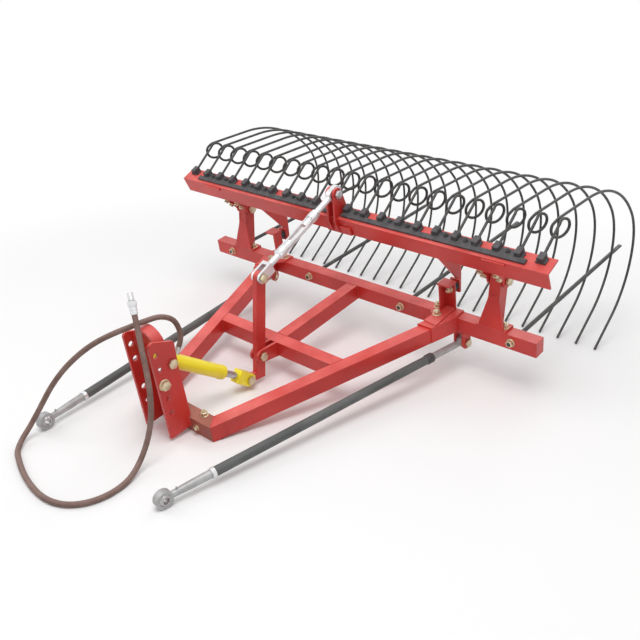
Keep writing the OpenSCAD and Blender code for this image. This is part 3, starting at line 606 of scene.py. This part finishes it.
HOSE_R = 0.009
HOSE_SIDES = 20
HOSE_STEPS = 4
HOSE_ROUTE = [
    (0, -0.7094, 0.2834), (0, -0.7005, 0.3011), (-0.0002, -0.698, 0.3345),
    (-0.0019, -0.7192, 0.3822), (-0.0051, -0.7642, 0.4085), (-0.0103, -0.8167, 0.4119),
    (-0.0245, -0.8671, 0.4045), (-0.0507, -0.9106, 0.3897), (-0.084, -0.945, 0.367),
    (-0.1188, -0.9721, 0.3375), (-0.1525, -0.9946, 0.3033), (-0.1843, -1.0151, 0.266),
    (-0.2132, -1.034, 0.2257), (-0.2392, -1.0515, 0.1828), (-0.2626, -1.0674, 0.1379),
    (-0.2837, -1.0852, 0.0925), (-0.2969, -1.1113, 0.0488), (-0.2866, -1.1528, 0.0189),
    (-0.2508, -1.1896, 0.0095), (-0.2026, -1.2118, 0.0095), (-0.1528, -1.2302, 0.0095),
    (-0.1019, -1.2452, 0.0095), (-0.0498, -1.2556, 0.0095), (0.003, -1.261, 0.0095),
    (0.0557, -1.2557, 0.0095), (0.1039, -1.2342, 0.0095), (0.1383, -1.1944, 0.0095),
    (0.1546, -1.1441, 0.0095), (0.1541, -1.0911, 0.0095), (0.1419, -1.0397, 0.0133),
    (0.1254, -0.9931, 0.0317), (0.1181, -0.958, 0.0703), (0.1181, -0.937, 0.1189),
    (0.1162, -0.9228, 0.17), (0.1079, -0.9122, 0.2214), (0.0928, -0.9029, 0.2714),
    (0.0727, -0.8937, 0.3197), (0.0489, -0.8844, 0.3662), (0.0256, -0.8739, 0.4128),
    (0.003, -0.865, 0.46)]

# Coupling on the free end: crimped ferrule as (distance along, radius), then hexagon and thread
FERRULE = [(-6, 9.4), (-6, 11.6), (-4, 12.2), (2, 12.2), (3, 11.2), (6, 11.2), (7, 12.2),
           (12, 12.2), (13, 11.2), (16, 11.2), (17, 12.2), (22, 12.2), (22.5, 11.1)]
COUPLING_HEX_AT = 22.5
COUPLING_HEX_R = 8.9
COUPLING_HEX_LEN = 13.5
COUPLING_THREAD_AT = 40
COUPLING_THREAD_R = 9.9
COUPLING_THREAD_LEN = 20


def smooth_route(points, steps):
    """Points on a smooth curve through the route."""
    route = [Vector(p) for p in points]
    last = len(route) - 1
    out = []
    for i in range(last):
        a, b, c, d = (route[max(i - 1, 0)], route[i], route[i + 1], route[min(i + 2, last)])
        for k in range(steps):
            t = k / steps
            out.append((2 * b + (c - a) * t + (2 * a - 5 * b + 4 * c - d) * t * t
                        + (3 * b - a - 3 * c + d) * t * t * t) / 2)
    out.append(route[last])
    return out


def hose_coupling():
    """Crimps, hexagon and thread on the fitting at the hose's free end."""
    back = CHASSIS.inverted()
    end = back @ Vector(HOSE_ROUTE[-1])
    axis = (end - back @ Vector(HOSE_ROUTE[-2])).normalized()

    def build(bm):
        lathe(bm, end, axis, FERRULE)
        hexagon(bm, end + COUPLING_HEX_AT * axis, axis, COUPLING_HEX_R, COUPLING_HEX_LEN, turn=0.3)
        thread(bm, end + COUPLING_THREAD_AT * axis, axis, COUPLING_THREAD_R, COUPLING_THREAD_LEN,
               pitch=2.5, depth=0.8)
    return piece("hose_coupling", "frame", BRIGHT, build)


def make_hose():
    line = smooth_route(HOSE_ROUTE, HOSE_STEPS)
    bm = bmesh.new()
    sweep(bm, line, [HOSE_R] * len(line), HOSE_SIDES)
    bmesh.ops.recalc_face_normals(bm, faces=bm.faces)
    obj = mesh_object("hose_skin", bm, HOSE)
    smooth(obj.data, HOSE_SHARP)
    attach(obj, "frame")
    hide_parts("hose")
    hose_coupling()


make_hose()


# Bent straps that close the front and top of the pedestals' yokes, between their side plates

STRAP_HALF = 14.5
STRAP_FOOT = Vector((0, -1, 8))
STRAP_HUB = 26
STRAP_INSET = 1
STRAP_T = 7
STRAP_RISE = (100, 150)
STRAP_ARC = range(180, 40, -10)


def pedestal_straps(bm):
    edge = (HEAD_PIVOT - Vector((0, STRAP_HUB, 0)) - STRAP_FOOT).normalized()
    inward = Vector((0, edge.z, -edge.y))
    lines = [(STRAP_FOOT + rise * edge, inward) for rise in STRAP_RISE]
    for degrees in STRAP_ARC:
        out = heading_line(math.radians(degrees))
        lines.append((HEAD_PIVOT + STRAP_HUB * out, -out))
    for centre in both(PEDESTAL_X):
        left, right = Vector((centre + STRAP_HALF, 0, 0)), Vector((centre - STRAP_HALF, 0, 0))
        rings = []
        for point, turned_in in lines:
            outer = point + STRAP_INSET * turned_in
            inner = point + (STRAP_INSET + STRAP_T) * turned_in
            rings.append([outer + right, outer + left, inner + left, inner + right])
        skin(bm, rings)


# Saddles folded over the side members' rear ends, each under the foot plate of a buffer post

SADDLE_Y = (-112, -1)
SADDLE_T = 5
SADDLE_TOP = 8
SADDLE_LOW = -57
SADDLE_EDGE = 1.5
SADDLE_LAP = 0.5
FOOT_PLAN = [Vector(p) for p in ((413, -86), (471, -95), (467, 40), (421, 40))]
FOOT_LOW = 5
FOOT_TOP = 14
FOOT_EDGE = 1.0
FOOT_BEAD = 2.6


def saddle_profile():
    """Section of a saddle as (distance out from the member's outer face, height)."""
    out, back = SADDLE_T, -MEMBER_X - SADDLE_T
    shoulder = SADDLE_TOP - SADDLE_EDGE
    outside = [(out, SADDLE_LOW), (out, shoulder), (out - SADDLE_EDGE, SADDLE_TOP),
               (back + SADDLE_EDGE, SADDLE_TOP), (back, shoulder), (back, SADDLE_LOW)]
    near, far = -SADDLE_LAP, SADDLE_LAP - MEMBER_X
    inside = [(far, SADDLE_LOW), (far, -SADDLE_LAP), (near, -SADDLE_LAP), (near, SADDLE_LOW)]
    return outside + inside


def corner_saddles(bm):
    """Folded plates round three sides of the members, with the foot plates and their welds."""
    middle = sum(FOOT_PLAN, Vector((0, 0))) / len(FOOT_PLAN)
    drawn_in = [p + FOOT_EDGE * (middle - p).normalized() for p in FOOT_PLAN]
    foot = [(FOOT_PLAN, FOOT_LOW), (FOOT_PLAN, FOOT_TOP - FOOT_EDGE), (drawn_in, FOOT_TOP)]
    for side in (1, -1):
        skin(bm, [[(side * (side_x(y) + x), y, z) for x, z in saddle_profile()]
                  for y in SADDLE_Y])
        skin(bm, [[(side * p.x, p.y, z) for p in plan] for plan, z in foot])
        inner, outer = (Vector((side * p.x, p.y, SADDLE_TOP)) for p in FOOT_PLAN[:2])
        weld(bm, outer, inner, FOOT_BEAD, seed=4.0)


# Cleats on the bar's front face, over the pivots

CLEAT_X = (646, 731)
CLEAT_V = (4, 15)
CLEAT_PROUD = 6
CLEAT_EDGE = 1.6
CLEAT_BEAD = 2.4
CLEAT_BEAD_SPAN = (0.06, 0.94)


def slab(bm, corner, along, across, out, edge):
    """Flat bar let half its height into a face, its outer edges turned down."""
    rings = []
    for lift, inset in ((-0.5, 0), (1 - edge / out.length, 0), (1, edge)):
        a, c = inset * along.normalized(), inset * across.normalized()
        base = corner + lift * out
        rings.append([base + a + c, base + along - a + c,
                      base + along + across - a - c, base + across + a - c])
    skin(bm, rings)


def head_cleats(bm):
    wide = Vector((CLEAT_X[1] - CLEAT_X[0], 0, 0))
    deep = (CLEAT_V[1] - CLEAT_V[0]) * ALONG_LOWER
    for x in (CLEAT_X[0], -CLEAT_X[1]):
        slab(bm, on_head(0, CLEAT_V[0], x), wide, deep, -CLEAT_PROUD * ALONG_UPPER, CLEAT_EDGE)
        low = on_head(-1, CLEAT_V[1] + 1, x)
        start, end = (low + share * wide for share in CLEAT_BEAD_SPAN)
        weld(bm, start, end, CLEAT_BEAD, seed=x)


# Draft rods: heavy tapered shanks over the thin ones, with a bright ring and a dark collar at the
# tube's ends. Profiles are (distance along, radius).

DRAFT_PITCH = math.radians(6.067)
DRAFT_YAW = math.radians(8.503)
DRAFT_LEN = 1285
DRAFT_TUBE_START = 170
DRAFT_TUBE_END = DRAFT_LEN - DRAFT_TUBE_START
SHANK_PROFILE = [(0, 14.2), (26, 14.0), (74, 13.4), (108, 12.2), (126, 11.4), (146, 11.2)]
REAR_PROFILE = [(19, 11.2), (34, 12.4), (60, 13.2), (DRAFT_TUBE_START - 6, 13.4),
                (DRAFT_TUBE_START, 13.2)]
RING_PROFILE = [(-5, 14.0), (-5, 17.4), (-4, 18.0), (7, 18.0), (8, 17.2), (8, 13.5)]
COLLAR_PROFILE = [(-4, 13.0), (-4, 17.6), (-2, 18.6), (24, 18.6), (28, 16.6), (30, 15.4)]
NIPPLE_AT = DRAFT_TUBE_END + 122
NIPPLE_RISE = 10
NIPPLE_PROFILE = [(0, 4), (4, 4), (4, 2.6), (7, 3.0), (9, 1.8)]


def draft_line(side):
    """Pin and forward direction of one draft rod."""
    run = math.cos(DRAFT_PITCH)
    forward = Vector((-side * run * math.sin(DRAFT_YAW), -run * math.cos(DRAFT_YAW),
                      math.sin(DRAFT_PITCH)))
    return Vector((side * DRAFT_PIN.x, DRAFT_PIN.y, DRAFT_PIN.z)), forward


def draft_shanks(side):
    """Front and rear shank, with the grease nipple on the front one."""
    def build(bm):
        pin, forward = draft_line(side)
        lathe(bm, pin + DRAFT_TUBE_END * forward, forward, SHANK_PROFILE)
        lathe(bm, pin, forward, REAR_PROFILE)
        nipple = pin + NIPPLE_AT * forward + NIPPLE_RISE * UP
        lathe(bm, nipple, UP, NIPPLE_PROFILE, sides=14)
    return build


def draft_sleeve(side, start, profile):
    """Turned ring round a draft rod, at a distance from its pin."""
    def build(bm):
        pin, forward = draft_line(side)
        lathe(bm, pin + start * forward, forward, profile)
    return build


# Turnbuckle: threads on its two screws and a lock nut against each end of its body

LINK = ARM_PIN - LEVER_TOP
LINK_FORK_END = 58
SLEEVE_START = 120
SLEEVE_END = LINK.length - 122
SLEEVE_COLLAR = 26
SCREW_IN = 62
LINK_EYE_START = LINK.length - 38
LINK_THREAD_R = 12.2
LINK_THREAD_PITCH = 4.0
LOCK_NUT_R = 11
LOCK_NUT_T = 11


def link_threads(bm):
    d = LINK.normalized()
    for start, end in ((LINK_FORK_END, SLEEVE_START),
                       (SLEEVE_START + SLEEVE_COLLAR, SLEEVE_START + SCREW_IN),
                       (SLEEVE_END - SCREW_IN, SLEEVE_END - SLEEVE_COLLAR),
                       (SLEEVE_END, LINK_EYE_START)):
        thread(bm, LEVER_TOP + start * d, d, LINK_THREAD_R, end - start, LINK_THREAD_PITCH)
    hexagon(bm, LEVER_TOP + SLEEVE_START * d, -d, LOCK_NUT_R, LOCK_NUT_T, turn=0.2)
    hexagon(bm, LEVER_TOP + SLEEVE_END * d, d, LOCK_NUT_R, LOCK_NUT_T, turn=0.4)


# Bolts and nuts: their radii by thread, and their places on the left side

M10, M12, M14, M16, M20 = 5, 6, 7, 8, 10
STRIPPER_NUT_DROP = 2
FOOT_NUT = Vector((431, -30, FOOT_TOP))
GUSSET_NUT = Vector((398, 24, GUSSET_T))
PEDESTAL_NUT_X = 44
HITCH_BOLT = Vector((CHEEK_HALF, -995, 170))
FRONT_NUT = Vector((106, -904, 0))
FRONT_BOLT = Vector((98, -FRAME_LEN, -TUBE_H / 2))
BUFFER_NUT = Vector((BUFFER_X, POST_BACK_Y - POST_T, BUFFER_Z))
BRACKET_TOP = on_head(6, 66)
BRACKET_LOW = HEAD_PIVOT - Vector((0, 28, 0))
BRACKET_BOLT_X = 31
BRACKET_BOLTS_ALONG = (34, 68)
HOLDER_NUT_U = 47
HOLDER_NUT_V = -6
LUGS_PER_CASTING = 3


def mirrored(place):
    """A place on the left side and its mirror image on the right."""
    return place, Vector((-place.x, place.y, place.z))


def frame_bolts(bm):
    """Bolts and nuts on the toolbar, gussets, pedestals, cheeks, front member and posts."""
    rod = Vector((0, -math.cos(STRIPPER_SLOPE), -math.sin(STRIPPER_SLOPE)))
    for x in STRIPPER_X:
        front = Vector((x, 0, -TUBE_H / 2))
        rear = Vector((x, TUBE_W, -TUBE_H / 2 - STRIPPER_NUT_DROP))
        nut(bm, front, rod, M16, turn=0.2 + 0.001 * x, stick_out=0)
        nut(bm, rear, -rod, M16, turn=0.4, stick_out=0)
    for place in mirrored(FOOT_NUT):
        nut(bm, place, UP, M16, turn=0.2, stick_out=2)
    for place in mirrored(GUSSET_NUT):
        nut(bm, place, UP, M14, turn=0.5, stick_out=8)
    for centre in both(PEDESTAL_X):
        for x in both(PEDESTAL_NUT_X):
            place = Vector((centre + x, TUBE_W / 2, PEDESTAL_BASE_T))
            nut(bm, place, UP, M14, turn=0.3 + x, stick_out=7)
    for place in mirrored(HITCH_BOLT):
        bolt(bm, place, Vector((place.x, 0, 0)), M20, turn=0.35)
    for place in mirrored(FRONT_NUT):
        nut(bm, place, UP, M14, turn=0.1, stick_out=6)
    for place in mirrored(FRONT_BOLT):
        bolt(bm, place, FORWARD, M12, turn=0.2)
    for place in mirrored(BUFFER_NUT):
        nut(bm, place, FORWARD, M14, turn=0.25, stick_out=6)


def head_bolts(bm):
    """Two bolts on the sloping front edge of each plate of the pivot brackets."""
    edge = (BRACKET_LOW - BRACKET_TOP).normalized()
    front = Vector((0, edge.z, -edge.y))
    for centre in both(PEDESTAL_X):
        for x in both(BRACKET_BOLT_X):
            for along in BRACKET_BOLTS_ALONG:
                place = BRACKET_TOP + along * edge + Vector((centre + x, 0, 0))
                bolt(bm, place, front, M12, turn=0.2 + x)


def holder_bolts(bm):
    """Nuts on the tine castings, between their lugs, apart from the middle of the bar."""
    last = 2 * TINES_PER_SIDE - 1
    for first in range(1, last, LUGS_PER_CASTING):
        for i in range(first, min(first + LUGS_PER_CASTING - 1, last - 1)):
            x = (i + 0.5 - last / 2) * TINE_PITCH
            if abs(x) > TINE_PITCH / 2:
                place = on_head(HOLDER_NUT_U, HOLDER_NUT_V, x)
                nut(bm, place, -ALONG_LOWER, M10, turn=0.2 + x, stick_out=5)


# Ends of the cross pins

PIN_HEAD_SEAT = 3
PIN_HEAD_RISE = 0.9
SPLIT_PIN_SEAT = 5
SPLIT_PIN_LEAN = Vector((0, 0.4, 1))
PIVOT_HEAD_SEAT = 4
PIVOT_HEAD_R = 12
PIVOT_HEAD_T = 10


def pin_heads(bm, centre, half, radius, flip=1):
    """Hexagonal head on one end of a cross pin and a split pin through the other."""
    out = Vector((flip, 0, 0))
    head = centre + out * (half - PIN_HEAD_SEAT)
    hexagon(bm, head, out, radius, PIN_HEAD_RISE * radius, turn=0.25)
    split_pin(bm, centre - out * (half - SPLIT_PIN_SEAT), -out, SPLIT_PIN_LEAN)


def frame_pin_heads(bm):
    pin_heads(bm, CYLINDER_BASE, CYLINDER_PIN_HALF, PIN_R)
    pin_heads(bm, LEVER_PIVOT, LEVER_PIN_HALF, PIN_R)
    for side, pin in zip((1, -1), mirrored(DRAFT_PIN)):
        pin_heads(bm, pin, DRAFT_PIN_HALF, DRAFT_PIN_R, side)
        pivot = HEAD_PIVOT + Vector((side * PEDESTAL_X, 0, 0))
        for way in (1, -1):
            out = Vector((way, 0, 0))
            head = pivot + (PIVOT_PIN_HALF - PIVOT_HEAD_SEAT) * out
            hexagon(bm, head, out, PIVOT_HEAD_R, PIVOT_HEAD_T, turn=0.3)


def lever_pin_heads(bm):
    pin_heads(bm, LEVER_TOP, LINK_PIN_HALF, PIN_R)
    pin_heads(bm, LEVER_FOOT, LINK_PIN_HALF, PIN_R)


def arm_pin_head(bm):
    pin_heads(bm, ARM_PIN, LINK_PIN_HALF, PIN_R)


# Welds of the frame: radii of the beads, and the faces of the cross tubes that they follow

CORNER_BEAD = 3.4
SEAM_BEAD = 3.2
TOP_BEAD = 2.4
MITRE_BEAD = 2.2
CHEEK_BEAD = 3.6
CHEEK_TOP_BEAD = 3.0
CHEEK_RETURN = Vector((0, 10, 12))
MIDDLE_FRONT = -MIDDLE_Y
MIDDLE_BACK = -MIDDLE_Y + TUBE_W
CENTRE_ENDS = (0, MIDDLE_BACK)
TUBE_DOWN = Vector((0, 0, -TUBE_H))


def inner_corner(y):
    """Point on the inner top edge of the left side member."""
    return Vector((side_x(y) - MEMBER_X, y, 0))


def frame_welds(bm):
    for side in (1, -1):
        flip = Vector((side, 1, 1))
        toolbar_outer = Vector((side_x(0), 0, 0))
        toolbar_inner = inner_corner(0)
        mitre_outer = Vector((FRONT_HALF, -FRAME_LEN, 0))
        mitre_inner = inner_corner(-FRAME_LEN + TUBE_W)
        cheek = Vector((CHEEK_HALF, -FRAME_LEN, 0))
        beads = [
            (toolbar_outer, toolbar_outer + TUBE_DOWN, CORNER_BEAD, 1.0),
            (toolbar_inner, toolbar_inner + TUBE_DOWN, CORNER_BEAD, 2.0),
            (inner_corner(MIDDLE_FRONT), inner_corner(MIDDLE_BACK), TOP_BEAD, 3.0),
            (mitre_outer, mitre_inner, MITRE_BEAD, 4.0),
            (mitre_inner, mitre_inner + TUBE_DOWN, SEAM_BEAD, 5.0),
            (cheek, cheek + CHEEK_FOOT_Z * UP, CHEEK_BEAD, 7.0),
            (cheek, cheek + CHEEK_RETURN, CHEEK_TOP_BEAD, 8.0)]
        for y in (MIDDLE_FRONT, MIDDLE_BACK):
            beads.append((inner_corner(y), inner_corner(y) + TUBE_DOWN, SEAM_BEAD, y))
        for y in CENTRE_ENDS:
            edge = Vector((TUBE_W / 2, y, 0))
            beads.append((edge, edge + TUBE_DOWN, SEAM_BEAD, 6.0 + y))
        for start, end, radius, seed in beads:
            weld(bm, start * flip, end * flip, radius, seed)
    for y in CENTRE_ENDS:
        right, left = Vector((-TUBE_W / 2, y, 0)), Vector((TUBE_W / 2, y, 0))
        weld(bm, right, left, TOP_BEAD, seed=9.0)


piece("frame_bolts", "frame", GOLD_ZINC, frame_bolts)
piece("frame_pin_heads", "frame", GOLD_ZINC, frame_pin_heads)
piece("frame_welds", "frame", RED, frame_welds)
piece("pedestal_straps", "frame", RED, pedestal_straps)
piece("corner_saddles", "frame", RED, corner_saddles)
piece("lever_pin_heads", "lever", GOLD_ZINC, lever_pin_heads)
piece("head_bolts", "rake_head", GOLD_ZINC, head_bolts)
piece("holder_bolts", "rake_head", IRON, holder_bolts)
piece("head_cleats", "rake_head", RED, head_cleats)
piece("arm_pin_head", "rake_head", ZINC, arm_pin_head)
piece("link_threads", "link", BRIGHT, link_threads)
for rod_side, rod_body in ((1, "left_draft"), (-1, "right_draft")):
    piece(rod_body + "_shanks", rod_body, FORGED, draft_shanks(rod_side))
    piece(rod_body + "_ring", rod_body, BRIGHT,
          draft_sleeve(rod_side, DRAFT_TUBE_END, RING_PROFILE))
    piece(rod_body + "_collar", rod_body, IRON,
          draft_sleeve(rod_side, DRAFT_TUBE_START, COLLAR_PROFILE))


# Floor, light and camera, in metres

FLOOR_HALF = 30.0
FLOOR_COLOUR = 0.9
FLOOR_ROUGHNESS = 0.9
FLOOR_SPECULAR = 0.1
# The floor keeps the shadow inside the first distance and is white beyond the second
SHADOW_CENTRE = (0, -0.1, 0)
SHADOW_FADE = (1.35, 2.6)
WORLD_LIGHT = 0.56
WORLD_SEEN = 1.0
# Name, place, target, power and size
LAMPS = [
    ("key", (0.9, -1.3, 4.4), (0, -0.1, 0.3), 105, 2.6),
    ("fill", (-3.2, -1.8, 2.6), (0, -0.1, 0.3), 25, 2.6),
    ("back", (-0.5, 3.4, 3.0), (0, 0.2, 0.3), 30, 2.4)]


def seen_rays(tree):
    """One for rays that show the floor or the world to the camera, straight or by reflection."""
    path = tree.nodes.new("ShaderNodeLightPath")
    seen = path.outputs["Is Camera Ray"]
    for name in ("Is Glossy Ray", "Is Transmission Ray"):
        most = tree.nodes.new("ShaderNodeMath")
        most.operation = "MAXIMUM"
        tree.links.new(seen, most.inputs[0])
        tree.links.new(path.outputs[name], most.inputs[1])
        seen = most.outputs["Value"]
    return seen


def floor_material():
    """Pale surface that keeps the object's shadow and goes over to white further out."""
    material = bpy.data.materials.new("floor_pale")
    material.use_nodes = True
    tree = material.node_tree
    link = tree.links.new
    shader = tree.nodes["Principled BSDF"]
    shader.inputs["Base Color"].default_value = (FLOOR_COLOUR, FLOOR_COLOUR, FLOOR_COLOUR, 1)
    shader.inputs["Roughness"].default_value = FLOOR_ROUGHNESS
    shader.inputs["Specular IOR Level"].default_value = FLOOR_SPECULAR
    away = tree.nodes.new("ShaderNodeVectorMath")
    away.operation = "DISTANCE"
    away.inputs[1].default_value = SHADOW_CENTRE
    link(tree.nodes.new("ShaderNodeNewGeometry").outputs["Position"], away.inputs[0])
    fade = tree.nodes.new("ShaderNodeMapRange")
    fade.interpolation_type = "SMOOTHSTEP"
    fade.inputs["From Min"].default_value, fade.inputs["From Max"].default_value = SHADOW_FADE
    link(away.outputs["Value"], fade.inputs["Value"])
    amount = tree.nodes.new("ShaderNodeMath")
    amount.operation = "MULTIPLY"
    link(fade.outputs["Result"], amount.inputs[0])
    link(seen_rays(tree), amount.inputs[1])
    white = tree.nodes.new("ShaderNodeEmission")
    blend = tree.nodes.new("ShaderNodeMixShader")
    link(amount.outputs["Value"], blend.inputs[0])
    link(shader.outputs["BSDF"], blend.inputs[1])
    link(white.outputs["Emission"], blend.inputs[2])
    link(blend.outputs["Shader"], tree.nodes["Material Output"].inputs["Surface"])
    return material


def make_floor():
    bm = bmesh.new()
    bmesh.ops.create_grid(bm, x_segments=1, y_segments=1, size=FLOOR_HALF)
    floor = mesh_object("floor", bm, floor_material())


def make_world():
    world = bpy.data.worlds.new("studio")
    bpy.context.scene.world = world
    world.use_nodes = True
    tree = world.node_tree
    background = tree.nodes["Background"]
    background.inputs["Color"].default_value = (1.0, 1.0, 1.0, 1)
    strength = tree.nodes.new("ShaderNodeMapRange")
    strength.inputs["To Min"].default_value = WORLD_LIGHT
    strength.inputs["To Max"].default_value = WORLD_SEEN
    tree.links.new(seen_rays(tree), strength.inputs["Value"])
    tree.links.new(strength.outputs["Result"], background.inputs["Strength"])


def make_lamp(name, place, target, power, size):
    light = bpy.data.lights.new(name, "AREA")
    light.energy = power
    light.size = size
    lamp = bpy.data.objects.new(name, light)
    bpy.context.scene.collection.objects.link(lamp)
    lamp.location = place
    aim = Vector(target) - Vector(place)
    lamp.rotation_euler = aim.to_track_quat("-Z", "Y").to_euler()


# Camera fitted to the photograph in the chassis frame: image side 640 pixels
PHOTO_SIDE = 640
FOCAL_PIXELS = 791.2
SENSOR = 36.0
CLIP_END = 100
CAMERA_AZIMUTH = math.radians(45.85)
CAMERA_ELEVATION = math.radians(32.5)
CAMERA_ROLL = math.radians(-8.45)
CAMERA_DISTANCE = 2542.5
CAMERA_TARGET = Vector((345.75, -546.7, 252.7))


def make_camera():
    data = bpy.data.cameras.new("camera")
    data.sensor_width = SENSOR
    data.lens = FOCAL_PIXELS * SENSOR / PHOTO_SIDE
    data.clip_end = CLIP_END
    camera = bpy.data.objects.new("camera", data)
    bpy.context.scene.collection.objects.link(camera)
    level = math.cos(CAMERA_ELEVATION)
    back = Vector((math.sin(CAMERA_AZIMUTH) * level, -math.cos(CAMERA_AZIMUTH) * level,
                   math.sin(CAMERA_ELEVATION)))
    right = Vector((math.cos(CAMERA_AZIMUTH), math.sin(CAMERA_AZIMUTH), 0))
    up = back.cross(right)
    roll = Matrix.Rotation(CAMERA_ROLL, 3, back)
    turn = CHASSIS.to_3x3().normalized() @ roll
    axes = Matrix((turn @ right, turn @ up, turn @ back)).transposed()
    place = CHASSIS @ (CAMERA_TARGET + CAMERA_DISTANCE * back)
    camera.matrix_world = Matrix.Translation(place) @ axes.to_4x4()
    bpy.context.scene.camera = camera


make_floor()
make_world()
for lamp_values in LAMPS:
    make_lamp(*lamp_values)
make_camera()
bpy.context.scene.view_settings.view_transform = "Standard"
